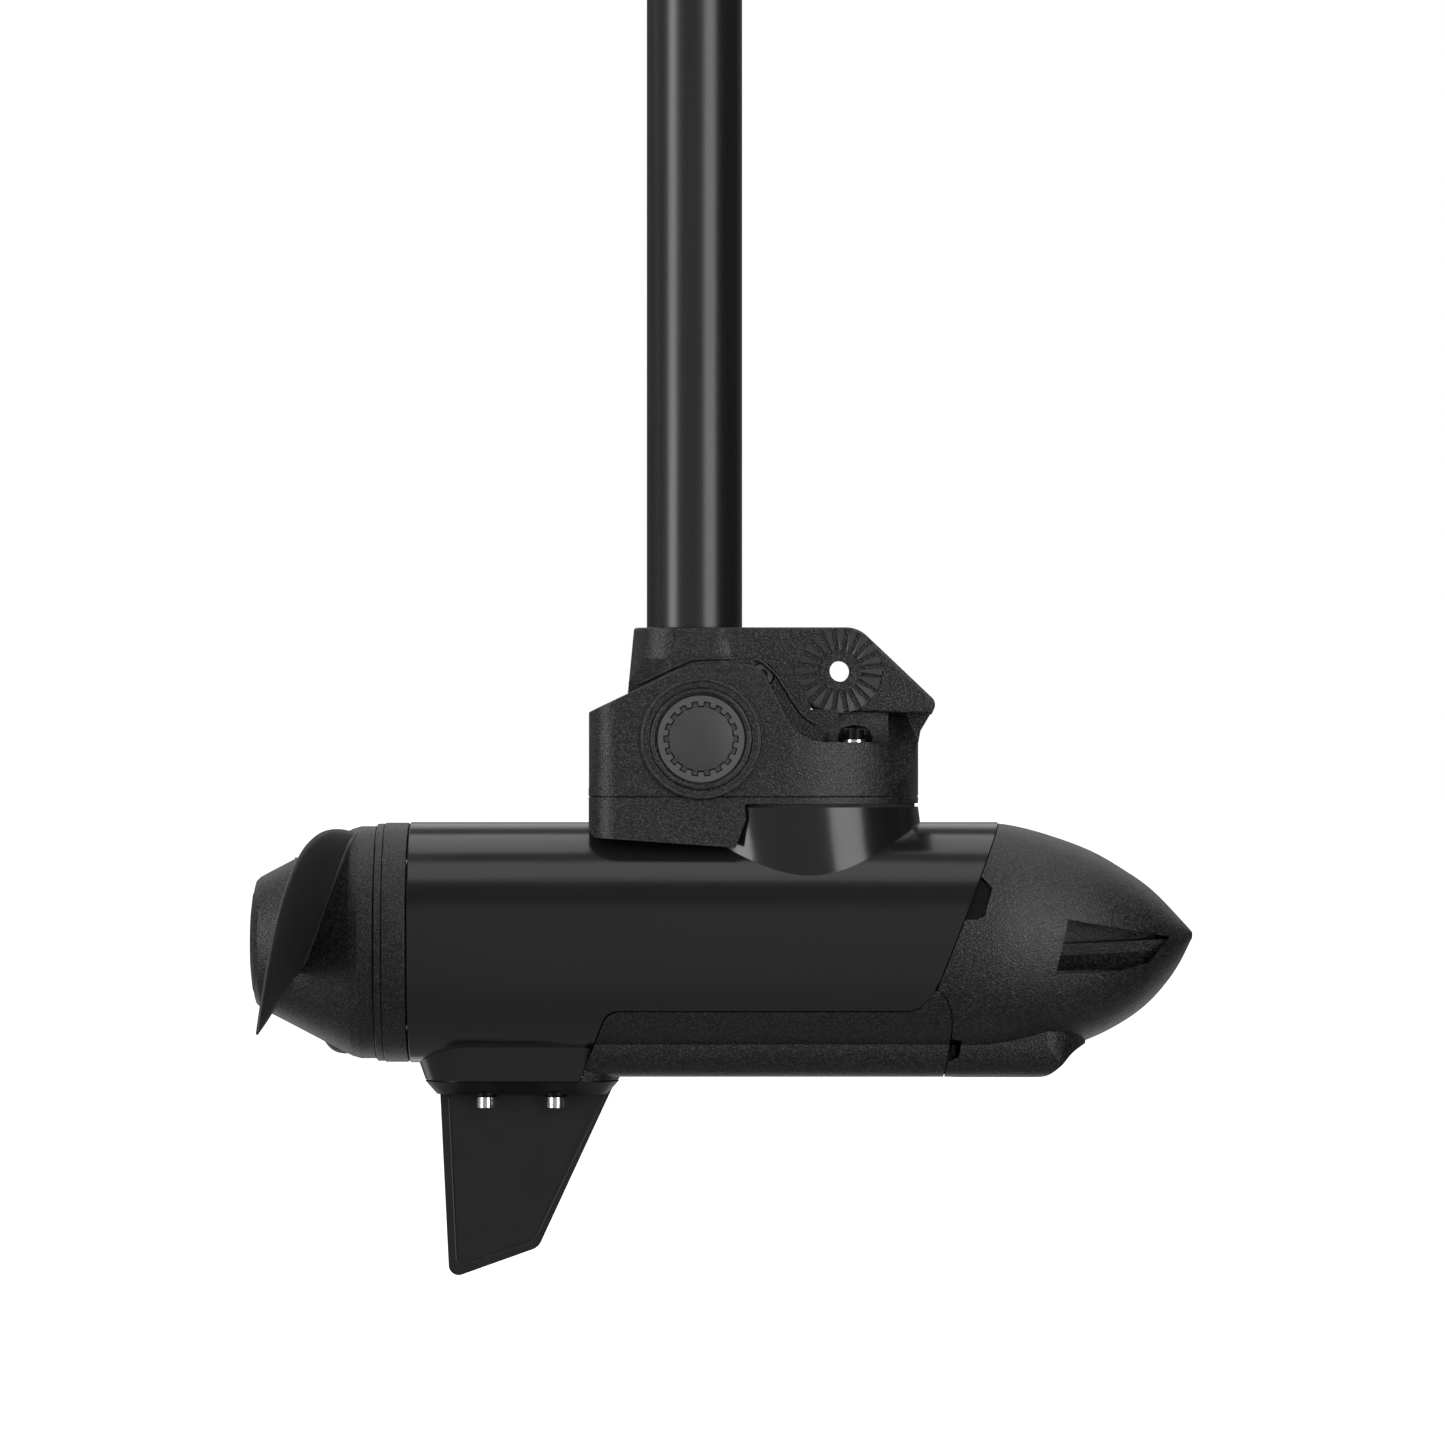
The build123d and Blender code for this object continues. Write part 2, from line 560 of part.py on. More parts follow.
def scoop_blank(grow=0.0):
    """A scoop's outline cut in from both sides, down to floors that close in towards the nose."""
    corners = (
        (147.6 - grow, 10.2 + grow), (189.0 + grow, 2.6), (180.6, -7.4 - grow), (168.6, -10.6 - grow),
        (142.6 - grow, -11.2 - grow),
    )
    return side_plate(corners, -70, 70) - scoop_core(grow)


def scoop_core(inset):
    """The nose left between the two scoops: a deep upper floor over a shelf that leans in below."""
    sections = []
    for x, floor, shelf, foot in ((136.0, 28.0, 40.2, 34.6), (192.0, 3.5, 12.4, 7.4)):
        ridge = 0.2 + (x - 146) * 0.035
        half = [
            (floor - inset, 40), (floor - inset, ridge + 0.4), (shelf - inset, ridge),
            (shelf - 1.2 - inset, ridge - 4.5), (foot - inset, -10.5), (foot - inset, -40),
        ]
        outline = half + [(-y, z) for y, z in reversed(half)]
        plane = Plane(origin=(x, 0, 0), x_dir=(0, 1, 0), z_dir=(1, 0, 0))
        sections.append(plane * make_face(Polyline(*outline, close=True)))
    return loft(sections, ruled=True)


def nose_pod():
    """The front end of the pod: rounded in plan, and blending up into the nose in side view."""
    body = pod(90, 162, POD_HALF, POD_BOTTOM, 14)
    toe = Spline(
        (137, 0, POD_BOTTOM), (142.9, 0, -50.8), (146.8, 0, -47.1), (149.6, 0, -43.9), (153.3, 0, -41.2),
        (162, 0, -37.4),
        tangents=((1, 0, 0), (1, 0, 0.45)),
    )
    rest = Polyline(
        (162, 0, -37.4), (162, 0, -10), (80, 0, -10), (80, 0, POD_BOTTOM), (137, 0, POD_BOTTOM),
    )
    body &= extrude(make_face([toe, *rest.edges()]), 80, dir=(0, 1, 0), both=True)
    plan = Pos(106, 0, -60) * RectangleRounded(100, 2 * POD_HALF + 4, 24)
    return body & extrude(plan, 60)


def latch_notches():
    """Notches at the nose's rear edge that show the latches."""
    upper = ((112, 28.4), (117.6, 22.6), (114.4, 11.6), (111.4, 10.2), (107.4, 10.2), (104, 8), (106, 30))
    lower = ((98, -36.8), (106.0, -38.2), (104.9, -44.8), (101.2, -46.4), (98, -46.0))
    return side_plate(upper, -60, 60) + side_plate(lower, -60, 60)


def nose_cone():
    """Hollow nose with a scoop in each side and the pod for the transducer below."""
    body = nose_solid() + nose_pod()
    body -= nose_solid(NOSE_SKIN) - scoop_blank(3.0)
    body -= pod(80, 140, POD_HALF - 4.2, POD_BOTTOM + 3.4, 10)
    body -= box(80, 138.6, -12.5, 12.5, -60, POD_BOTTOM + 0.8)
    body -= scoop_blank()
    body &= front_cut(SEAM)
    body &= Pos(SEAM, 0, 0) * nose_window()
    body -= latch_notches() - ring(60, 130, 45.2) - nose_tongue()
    body += nose_tongue()
    return body.solids().sort_by(SortBy.VOLUME)[-1]


# ---- propeller end ----------------------------------------------------------------------------------
def rear_end_cap():
    """Textured ring and spigot that close the housing's rear end and carry the rear bearing."""
    rim = TUBE_R - 0.2
    body = lathe(
        (CAP_REAR, 6.6), (CAP_REAR, rim - 0.4), (CAP_REAR + 0.4, rim), (-114.2, rim), (-113.8, rim - 0.4),
        (-113.8, 6.6),
    )
    body += ring(-113.8, -105.0, BORE_R - 0.05, 17.0)
    body -= ring(-117.0, -104, BEARING_R)
    body -= ring(CAP_REAR - 1, -118.5, 10.0)
    body -= ring(-111.4, -108.8, BORE_R, 41.6)
    for hole in around_motor(4, lambda: Pos(0, 0, CAP_SCREW_RING) * ring(-125, -100, 1.3), 45):
        body -= hole
    for hole in around_motor(4, lambda: Pos(0, 0, CAP_SCREW_RING) * ring(-125, -120.6, 2.0), 45):
        body -= hole
    return body


def rear_o_ring():
    return ring(-111.3, -108.9, BORE_R - 0.02, 41.7)


def end_cap_screws():
    def screw():
        return Pos(0, 0, CAP_SCREW_RING) * (ring(-123.2, -120.6, 1.9) + ring(-120.6, -104, 1.2))

    return group(around_motor(4, screw, 45))


def rear_ring():
    """Thin line guard that covers the end cap's screws."""
    rim = TUBE_R - 0.6
    return lathe(
        (-126.5, 11), (-126.5, rim - 0.4), (-126.1, rim), (-123.7, rim), (CAP_REAR, rim - 0.3),
        (CAP_REAR, 11),
    )


def shaft_seal():
    """Lip seal round the drive shaft."""
    body = ring(-123.3, -118.6, 9.95, DRIVE_R + GAP)
    return body - ring(-124, -120.2, 9.0, 7.4)


def ball_bearing(x0, x1):
    """A ball bearing: its two rings and its balls."""
    middle = (x0 + x1) / 2
    outer = ring(x0, x1, BEARING_R - 0.05, 13.2) - ring(middle - 2, middle + 2, 13.6)
    inner = ring(x0, x1, 9.0, DRIVE_R + GAP) - ring(middle - 2, middle + 2, 10, 8.6)
    balls = around_motor(9, lambda: Pos(middle, 0, 11.1) * Sphere(2.1))
    return group([outer, inner, *balls])


def propeller_hub():
    """Hollow cone behind the motor, with a boss on the drive shaft."""
    outer = lathe((-126.9, 0), (-126.9, HUB_OUTLINE[0][1]), *HUB_OUTLINE)
    inner = lathe(
        (-120, 0), (-120, 42.6), (-132.6, 42.6), (-140.0, 39.6), (-168.0, 25.0), (-170.6, 22.6),
        (-170.6, 0),
    )
    body = outer - inner + ring(-171, -129.0, 11.5)
    for i in range(6):
        rib = Rot(i * 60, 0, 0) * box(-171, -133, -1.6, 1.6, 9, 46)
        body += rib & outer
    body -= ring(-200, -120, DRIVE_R + 0.02)
    body -= ring(-180, -164.0, 14.0)
    body -= Pos(PIN_X, 0, 0) * Cylinder(PIN_R + 0.05, 26)
    return body


def leading_edge(t):
    """Point of a blade's leading edge, from root at t = 0 to tip at t = 1, as (angle, x, radius)."""
    angle = 74.6 - 87.6 * t
    x = -132.0 - 34.4 * t**0.7
    radius = 45.3 + (BLADE_TIP_R - 45.3) * (t + t**3) / 2
    return angle, x, radius


def trailing_edge(t):
    """Point of the trailing edge, from its root at t = 0 to the tip at t = 1."""
    angle = -18.5 + 4.9 * t
    x = -155.6 - 11.2 * t**0.6
    radius = 35.6 + (BLADE_TIP_R - 35.6) * t
    return angle, x, radius


def blade_surface():
    """Points of a blade's middle surface, which hands over from one edge to the other."""
    rows = []
    for i in range(13):
        t = i / 12
        t = t * (2 - t) if t < 1 else 1.0
        lead = leading_edge(t * 0.985)
        trail = trailing_edge(t * 0.995)
        row = []
        for j in range(9):
            u = j / 8
            angle, x, radius = (a + (b - a) * u for a, b in zip(lead, trail))
            if i == 0:
                radius -= 4.0
            turn = radians(angle)
            row.append(Vector(x, -radius * cos(turn), radius * sin(turn)))
        rows.append(row)
    return rows


def propeller_blade(turn):
    """One swept blade, seated on the hub."""
    skin = Face.make_surface_from_array_of_points(blade_surface())
    body = Solid.thicken(skin, BLADE_SKIN / 2) + Solid.thicken(skin, -BLADE_SKIN / 2)
    body -= lathe((-120, 0), (-120, HUB_OUTLINE[0][1]), *HUB_OUTLINE)
    return Rot(turn, 0, 0) * body.solids().sort_by(SortBy.VOLUME)[-1]


def drive_shaft():
    body = ring(-168.4, 22.0, DRIVE_R)
    body -= ring(-169, -160.0, 7.0, 5.0)
    return body - Pos(PIN_X, 0, 0) * Cylinder(PIN_R, 30)


def drive_pin():
    return Pos(PIN_X, 0, 0) * Cylinder(PIN_R - 0.02, 22)


def propeller_washer():
    return ring(-165.2, -164.05, 9.0, DRIVE_R + 0.1)


def propeller_nut():
    nut = Pos(-168.2, 0, 0) * Rot(0, 90, 0) * extrude(RegularPolygon(8.2, 6), 3.0)
    return nut - ring(-180, -160, DRIVE_R - 0.98)


def hub_cap():
    """Slightly domed cap over the propeller nut."""
    cap = lathe(
        (HUB_REAR, 0), (HUB_REAR, 21.0), (-176.2, 19.6), (-176.9, 14.0), (-177.3, 6.0), (-177.4, 0),
    )
    return cap + ring(HUB_REAR, -170.5, 13.9, 12.0)


def thrust_washer():
    return ring(-128.9, -126.9, 10.2, DRIVE_R + GAP)


# ---- motor ------------------------------------------------------------------------------------------
def stator_core():
    """Laminated stator with twelve slots open to the rotor."""
    rear, front = STATOR
    body = ring(rear, front, BORE_R - 0.05, 26.0)

    def slot():
        pocket = box(rear - 1, front + 1, -3.6, 3.6, 29.0, 38.0)
        return pocket + box(rear - 1, front + 1, -1.2, 1.2, 25, 29.5)

    for cut in around_motor(SLOTS, slot, 180 / SLOTS):
        body -= cut
    return body


def stator_windings():
    """A coil side in each slot, and the end turns at both ends."""
    rear, front = STATOR
    coils = around_motor(SLOTS, lambda: box(rear - 5, front + 5, -3.3, 3.3, 29.4, 37.6), 180 / SLOTS)
    ends = [ring(rear - 9.5, rear - 5, 37.6, 29.4), ring(front + 5, front + 9.5, 37.6, 29.4)]
    return group([*coils, *ends])


def rotor_core():
    """Rotor iron with lightening holes."""
    rear, front = STATOR
    body = ring(rear, front, ROTOR_R, DRIVE_R)
    for hole in around_motor(POLES, lambda: Pos(0, 0, 13.5) * ring(rear - 1, front + 1, 3.2)):
        body -= hole
    return body


def rotor_magnets():
    """Curved magnets on the rotor's outside."""
    rear, front = STATOR

    def magnet():
        return ring(rear + 1, front - 1, MAGNET_R, ROTOR_R) & box(rear, front, -10.2, 10.2, 15, 30)

    return group(around_motor(POLES, magnet))


def front_bearing_plate():
    """Plate that carries the front bearing, with six windows round it."""
    body = ring(12, 22, BORE_R - 0.05, 7.0) - ring(11, 15.0, 41.5, 19.5)
    body -= ring(11, 18.0, BEARING_R)
    for hole in around_motor(6, lambda: Pos(0, 0, 33) * ring(0, 30, 4.0), 30):
        body -= hole
    return body


def board_carrier():
    """Aluminium shelf that takes the heat of the motor controller to the housing."""
    body = box(22, 78, -30, 30, -14.5, -10.5) + (ring(22, 26, 41) & box(20, 30, -32, 32, -22, -10.5))
    for y in (-24, -12, 0, 12, 24):
        body += box(28, 78, y - 0.9, y + 0.9, -22, -14.5)
    for x, y in BOARD_CORNERS:
        body += post(x, y, -10.5, BOARD_BOTTOM, 3.0)
        body -= post(x, y, -10.5, BOARD_BOTTOM, 1.52)
    return body


def controller_board():
    body = box(29, 77, -27, 27, BOARD_BOTTOM, BOARD_TOP)
    for x, y in BOARD_CORNERS:
        body -= post(x, y, -10, 0, 1.7)
    return body


def board_components():
    """Power transistors, capacitors, a processor and a connector."""
    parts = [box(34 + 8 * i, 39.5 + 8 * i, 12, 20, BOARD_TOP, BOARD_TOP + 2.4) for i in range(5)]
    parts += [post(38 + 11 * i, -14, BOARD_TOP, BOARD_TOP + 13, 4.4) for i in range(3)]
    parts.append(box(48, 58, -4, 6, BOARD_TOP, BOARD_TOP + 1.4))
    parts.append(box(64, 74, -6, 2, BOARD_TOP, BOARD_TOP + 6))
    return group(parts)


def board_screws():
    """Screws through the board's corners into the carrier's posts."""
    screws = []
    for x, y in BOARD_CORNERS:
        screws.append(post(x, y, -10.4, BOARD_TOP, 1.5) + post(x, y, BOARD_TOP, BOARD_TOP + 2, 2.8))
    return group(screws)


def front_bulkhead():
    """Plug that seals the housing's front end, with a hole for the transducer's lead."""
    body = ring(82, 90, BORE_R - 0.05, 0) - ring(84.8, 87.2, BORE_R, 41.6)
    body -= Pos(0, 0, 22) * ring(80, 95, 5.0)
    return body


def bulkhead_o_ring():
    return ring(84.9, 87.1, BORE_R - 0.02, 41.7)


def sonar_transducer():
    """Potted transducer in the nose's pod."""
    body = fillet(box(104, 136, -16, 16, -48.6, -40).edges().filter_by(Axis.Z), 6)
    return body + post(112, 0, -40, -34, 4.0)


def transducer_face():
    """Thin plate under the transducer, flush with the pod."""
    plate = Pos(120.3, 0, 0) * extrude(RectangleRounded(36.4, 24, 4), 0.8)
    return Pos(0, 0, POD_BOTTOM - 0.2) * plate


def nose_latches():
    """Latch tabs that hold the nose and show in its notches."""
    corners = ((111.0, 27.4), (112.2, 27.2), (116.8, 22.4), (113.9, 12.2), (111.3, 10.9), (106.0, 10.9))
    upper = side_plate(corners, -48, -30)
    corners = ((102.1, -39.9), (103.8, -40.2), (103.2, -43.8), (102.1, -44.4))
    lower = side_plate(corners, -23.4, -21.0)
    upper &= ring(100, 120, 46.6, 45.2) & front_cut(0.3)
    return group([both_sides(upper), both_sides(lower)])


# ---- skeg -------------------------------------------------------------------------------------------
def round_corners(plate, corners):
    """Round a plate's edges along Y at the given (point, radius) corners."""
    for point, radius in corners:
        plate = fillet(plate.edges().filter_by(Axis.Y).sort_by_distance(point)[0], radius)
    return plate


def skeg():
    """Fin with a flange that screws to the pedestal; a fine step runs round the fin's edge."""
    top = Plane(origin=(PEDESTAL_X, 0, -60.4)) * RectangleRounded(68.0, 24, 10)
    low = Plane(origin=(PEDESTAL_X, 0, PEDESTAL_BOTTOM - 0.6)) * RectangleRounded(77.2, 40, 18)
    flange = loft([top, low])
    flange += extrude(Pos(PEDESTAL_X, 0, PEDESTAL_BOTTOM - 0.6) * RectangleRounded(72, 35, 15), 0.6)
    for x in SKEG_SCREW_X:
        flange -= both_sides(post(x, SKEG_SCREW_Y, -62, -58.2, 4.8))
        flange -= both_sides(post(x, SKEG_SCREW_Y, -62, -50, 2.2))
    corners = ((-101.7, 0, -57), (-97.9, 0, -134.5), (-62.3, 0, -121.8), (-32.3, 0, -57))
    face = make_face(Polyline(*corners, close=True))
    fin = extrude(face, 2.4, dir=(0, 1, 0), both=True)
    fin = round_corners(fin, ((corners[1], 4.0), (corners[2], 6.0)))
    inner = ((-97.6, 0, -57), (-94.2, 0, -128.8), (-64.4, 0, -118.2), (-36.6, 0, -57))
    face = make_face(Polyline(*inner, close=True))
    web = round_corners(extrude(face, 3.1, dir=(0, 1, 0), both=True), ((inner[1], 1.5), (inner[2], 3.5)))
    return flange + fin + web


def skeg_screws():
    """Four screws with long round heads, up into the pedestal."""
    screws = []
    for x in SKEG_SCREW_X:
        screw = post(x, SKEG_SCREW_Y, -65.6, -58.2, 3.4) + post(x, SKEG_SCREW_Y, -58.2, -47.0, 2.05)
        screws.append(both_sides(screw))
    return group(screws)


PARTS = {
    "shaft_tube": shaft_tube,
    "upper_knuckle": upper_knuckle,
    "clamp_bolt": clamp_bolt,
    "clamp_nut": clamp_nut,
    "shaft_cable": shaft_cable,
    "cable_plug": cable_plug,
    "shaft_plug": shaft_plug,
    "pivot_base": pivot_base,
    "base_collar": base_collar,
    "base_gasket": base_gasket,
    "base_screws": base_screws,
    "base_washers": base_washers,
    "spline_rings": spline_rings,
    "front_button": lambda: lock_button(-1),
    "rear_button": lambda: lock_button(1),
    "front_button_spring": lambda: button_spring(-1),
    "rear_button_spring": lambda: button_spring(1),
    "motor_cable": motor_cable,
    "cable_gland": cable_gland,
    "motor_housing": motor_housing,
    "bottom_panel": bottom_panel,
    "nose_cone": nose_cone,
    "nose_latches": nose_latches,
    "sonar_transducer": sonar_transducer,
    "transducer_face": transducer_face,
    "front_bulkhead": front_bulkhead,
    "bulkhead_o_ring": bulkhead_o_ring,
    "board_carrier": board_carrier,
    "controller_board": controller_board,
    "board_components": board_components,
    "board_screws": board_screws,
    "front_bearing_plate": front_bearing_plate,
    "front_bearing": lambda: ball_bearing(13.0, 18.0),
    "rear_bearing": lambda: ball_bearing(-117.0, -107.0),
    "stator_core": stator_core,
    "stator_windings": stator_windings,
    "rear_end_cap": rear_end_cap,
    "rear_o_ring": rear_o_ring,
    "end_cap_screws": end_cap_screws,
    "rear_ring": rear_ring,
    "shaft_seal": shaft_seal,
    "skeg": skeg,
    "skeg_screws": skeg_screws,
    "drive_shaft": drive_shaft,
    "rotor_core": rotor_core,
    "rotor_magnets": rotor_magnets,
    "drive_pin": drive_pin,
    "thrust_washer": thrust_washer,
    "propeller_hub": propeller_hub,
    "propeller_washer": propeller_washer,
    "propeller_nut": propeller_nut,
    "hub_cap": hub_cap,
    "front_blade": lambda: propeller_blade(0),
    "rear_blade": lambda: propeller_blade(180),
}


def main():
    os.makedirs("parts", exist_ok=True)
    for name, make in PARTS.items():
        export_step(Pos(0, 0, -SHAFT_TOP) * make(), f"parts/{name}.step")


main()
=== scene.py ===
"""The looks of the trolling motor's lower unit: materials, fine shapes, camera and studio."""

import json
import math

import bmesh
import bpy
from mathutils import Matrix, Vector
from mathutils.bvhtree import BVHTree

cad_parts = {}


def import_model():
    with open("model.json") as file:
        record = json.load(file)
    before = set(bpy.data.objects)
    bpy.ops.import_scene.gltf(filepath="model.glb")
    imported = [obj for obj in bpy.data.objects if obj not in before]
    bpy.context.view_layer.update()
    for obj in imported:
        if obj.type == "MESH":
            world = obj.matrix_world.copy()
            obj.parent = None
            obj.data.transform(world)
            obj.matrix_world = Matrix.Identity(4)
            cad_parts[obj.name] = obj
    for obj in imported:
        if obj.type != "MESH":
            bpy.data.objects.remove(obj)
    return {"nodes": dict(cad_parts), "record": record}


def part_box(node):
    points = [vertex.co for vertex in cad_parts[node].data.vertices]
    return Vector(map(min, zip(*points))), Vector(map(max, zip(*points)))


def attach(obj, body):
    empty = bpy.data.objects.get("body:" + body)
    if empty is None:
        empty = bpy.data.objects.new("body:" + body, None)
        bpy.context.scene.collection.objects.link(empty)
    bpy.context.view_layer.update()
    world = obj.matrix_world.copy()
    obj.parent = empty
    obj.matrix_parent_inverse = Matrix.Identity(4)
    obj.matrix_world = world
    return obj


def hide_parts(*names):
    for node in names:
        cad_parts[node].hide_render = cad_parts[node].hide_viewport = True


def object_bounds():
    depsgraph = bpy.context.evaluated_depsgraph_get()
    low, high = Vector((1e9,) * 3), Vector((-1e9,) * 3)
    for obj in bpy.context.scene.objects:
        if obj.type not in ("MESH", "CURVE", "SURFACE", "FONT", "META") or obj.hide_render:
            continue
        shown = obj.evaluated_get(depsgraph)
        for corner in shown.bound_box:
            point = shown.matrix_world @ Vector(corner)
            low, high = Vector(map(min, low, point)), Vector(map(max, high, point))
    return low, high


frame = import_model()
CAD_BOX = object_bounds()
NODES = frame["nodes"]

MM = 0.001
AXIS_Z = (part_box("rear_end_cap")[0].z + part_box("rear_end_cap")[1].z) / 2  # height of the motor's axis

# places of features, in mm forwards of the shaft's axis and up from the motor's axis
PIVOT = (2.7, 81.3)
ROSETTE = (57.9, 108.2)
ROSETTE_FACE = 21.4  # distance of the bottom of the ridges from the middle plane
ROSETTE_RIDGES = 20
SKEG_SCREWS_X = (-83.2, -55.4)
SKEG_SCREWS_Y = (-9.0, 9.0)


# ---- material building blocks -----------------------------------------------------------------------
class Shader:
    """A node material with a Principled shader and short calls for adding to it."""

    def __init__(self, name, **sockets):
        self.material = bpy.data.materials.new(name)
        self.material.use_nodes = True
        self.tree = self.material.node_tree
        self.surface = self.tree.nodes["Principled BSDF"]
        self.position = self.node("ShaderNodeTexCoord").outputs["Object"]
        for socket, value in sockets.items():
            self.surface.inputs[socket.replace("_", " ")].default_value = value

    def node(self, kind, **settings):
        made = self.tree.nodes.new(kind)
        for key, value in settings.items():
            setattr(made, key, value)
        return made

    def link(self, source, target):
        self.tree.links.new(source, target)

    def noise(self, scale, detail=3.0, stretch=(1, 1, 1), turn=(0, 0, 0)):
        """Noise, with its scale in features per metre."""
        mapping = self.node("ShaderNodeMapping")
        mapping.inputs["Scale"].default_value = stretch
        mapping.inputs["Rotation"].default_value = turn
        self.link(self.position, mapping.inputs["Vector"])
        made = self.node("ShaderNodeTexNoise")
        made.inputs["Scale"].default_value = scale
        made.inputs["Detail"].default_value = detail
        self.link(mapping.outputs["Vector"], made.inputs["Vector"])
        return made.outputs["Fac"]

    def cells(self, scale, stretch=(1, 1, 1), turn=(0, 0, 0)):
        """Distance to the edges of irregular cells."""
        mapping = self.node("ShaderNodeMapping")
        mapping.inputs["Scale"].default_value = stretch
        mapping.inputs["Rotation"].default_value = turn
        self.link(self.position, mapping.inputs["Vector"])
        made = self.node("ShaderNodeTexVoronoi", feature="SMOOTH_F1")
        made.inputs["Scale"].default_value = scale
        made.inputs["Smoothness"].default_value = 0.6
        self.link(mapping.outputs["Vector"], made.inputs["Vector"])
        return made.outputs["Distance"]

    def spread(self, source, low, high, start=0.3, end=0.7):
        """source's range from start to end spread from low to high."""
        made = self.node("ShaderNodeMapRange")
        for socket, value in (("From Min", start), ("From Max", end), ("To Min", low), ("To Max", high)):
            made.inputs[socket].default_value = value
        self.link(source, made.inputs["Value"])
        return made.outputs["Result"]

    def math(self, operation, a, b):
        made = self.node("ShaderNodeMath", operation=operation)
        for socket, value in zip(made.inputs, (a, b)):
            if isinstance(value, (int, float)):
                socket.default_value = value
            else:
                self.link(value, socket)
        return made.outputs["Value"]

    def tint(self, source, dark, light):
        """Colours from dark to light along source."""
        ramp = self.node("ShaderNodeValToRGB")
        ramp.color_ramp.elements[0].color = (*dark, 1)
        ramp.color_ramp.elements[1].color = (*light, 1)
        self.link(source, ramp.inputs["Fac"])
        self.link(ramp.outputs["Color"], self.surface.inputs["Base Color"])

    def rough(self, source, low, high):
        self.link(self.spread(source, low, high), self.surface.inputs["Roughness"])

    def bump(self, height, strength, distance):
        """Bumps, with their height in metres as distance."""
        made = self.node("ShaderNodeBump")
        made.inputs["Strength"].default_value = strength
        made.inputs["Distance"].default_value = distance
        self.link(height, made.inputs["Height"])
        self.link(made.outputs["Normal"], self.surface.inputs["Normal"])


def grey(value):
    return (value, value, value)


# ---- materials --------------------------------------------------------------------------------------
def leather_grain_plastic():
    """Moulded black plastic with a fine leather grain."""
    s = Shader("leather_grain_plastic", IOR=1.46)
    wrinkles = s.noise(760, detail=2.0, stretch=(1.0, 1.0, 1.8), turn=(0, 0.6, 0))
    ridged = s.math("ABSOLUTE", s.math("SUBTRACT", wrinkles, 0.5), 0.0)
    pores = s.cells(1250, stretch=(1, 1, 1.5), turn=(0, 0.6, 0))
    grain = s.math("ADD", s.math("MULTIPLY", ridged, 2.2), s.math("MULTIPLY", pores, 0.5))
    # grain tone with painted highlight: the grain's ridges are painted paler so the specks show under every
    # lamp
    s.tint(s.spread(grain, 0.0, 1.0, 0.34, 0.58), grey(0.001), grey(0.026))
    s.rough(s.noise(35), 0.31, 0.36)
    s.bump(grain, 1.0, 0.00022)
    return s.material


def gloss_black_paint():
    s = Shader("gloss_black_paint", IOR=1.5)
    s.tint(s.noise(12), grey(0.0085), grey(0.0115))
    s.rough(s.noise(26), 0.15, 0.19)
    s.bump(s.noise(160, detail=1.0), 0.03, 0.0002)
    return s.material


def shaft_composite():
    s = Shader("shaft_composite", IOR=1.5)
    s.tint(s.noise(40, stretch=(1, 1, 0.05)), grey(0.008), grey(0.012))
    s.rough(s.noise(200, stretch=(1, 1, 0.04)), 0.24, 0.3)
    s.bump(s.noise(1500, detail=2.0, stretch=(1, 1, 0.02)), 0.12, 0.00003)
    return s.material


def satin_black_plastic():
    s = Shader("satin_black_plastic", IOR=1.46)
    s.tint(s.noise(60), grey(0.003), grey(0.005))
    s.rough(s.noise(90), 0.38, 0.46)
    s.bump(s.noise(2600, detail=2.0), 0.3, 0.00004)
    return s.material


def blade_plastic():
    """Smooth reinforced plastic, a little paler than the covers."""
    s = Shader("blade_plastic", IOR=1.46)
    s.tint(s.noise(60), grey(0.013), grey(0.018))
    s.rough(s.noise(90), 0.42, 0.5)
    s.bump(s.noise(1400, detail=2.0), 0.25, 0.00005)
    return s.material


def edge_highlight_plastic():
    """Rounded moulding edges and fine raised lines, painted paler than the plastic round them: a painted
    highlight.
    """
    s = Shader("edge_highlight_plastic", IOR=1.5)
    # painted highlight: a paler tone standing in for the light these edges catch
    s.tint(s.noise(700), grey(0.018), grey(0.036))
    s.rough(s.noise(300), 0.3, 0.42)
    s.bump(s.noise(1500, detail=2.0), 0.5, 0.0001)
    return s.material


def ring_plastic():
    """The paler plastic of the toothed rings round the buttons."""
    s = Shader("ring_plastic", IOR=1.46)
    s.tint(s.noise(160), grey(0.06), grey(0.075))
    s.rough(s.noise(300), 0.42, 0.5)
    s.bump(s.noise(3500, detail=2.0), 0.25, 0.00003)
    return s.material


def blackened_steel():
    """Steel with a nearly black finish, for the sunk fasteners and latches."""
    s = Shader("blackened_steel", IOR=1.5, Specular_IOR_Level=0.12)
    s.tint(s.noise(400), grey(0.002), grey(0.004))
    s.rough(s.noise(700), 0.34, 0.44)
    s.bump(s.noise(3000), 0.2, 0.00003)
    return s.material


def button_plastic():
    s = Shader("button_plastic", IOR=1.46)
    s.tint(s.noise(120), grey(0.032), grey(0.042))
    s.rough(s.noise(300), 0.42, 0.5)
    s.bump(s.noise(3500, detail=2.0), 0.25, 0.00003)
    return s.material


def dark_oxide_steel():
    s = Shader("dark_oxide_steel", Metallic=0.55)
    s.tint(s.noise(400), grey(0.075), grey(0.115))
    s.rough(s.noise(700), 0.38, 0.5)
    s.bump(s.noise(3000), 0.3, 0.00004)
    return s.material


def polished_steel():
    s = Shader("polished_steel", Metallic=1.0)
    s.tint(s.noise(300), grey(0.62), grey(0.78))
    s.rough(s.noise(900, stretch=(1, 1, 0.1)), 0.16, 0.26)
    s.bump(s.noise(2500, stretch=(1, 1, 0.05)), 0.15, 0.00003)
    return s.material


def ground_steel():
    s = Shader("ground_steel", Metallic=1.0)
    s.tint(s.noise(250), grey(0.4), grey(0.52))
    s.rough(s.noise(800, stretch=(1, 0.1, 0.1)), 0.25, 0.38)
    s.bump(s.noise(2500, stretch=(0.05, 1, 1)), 0.2, 0.00003)
    return s.material


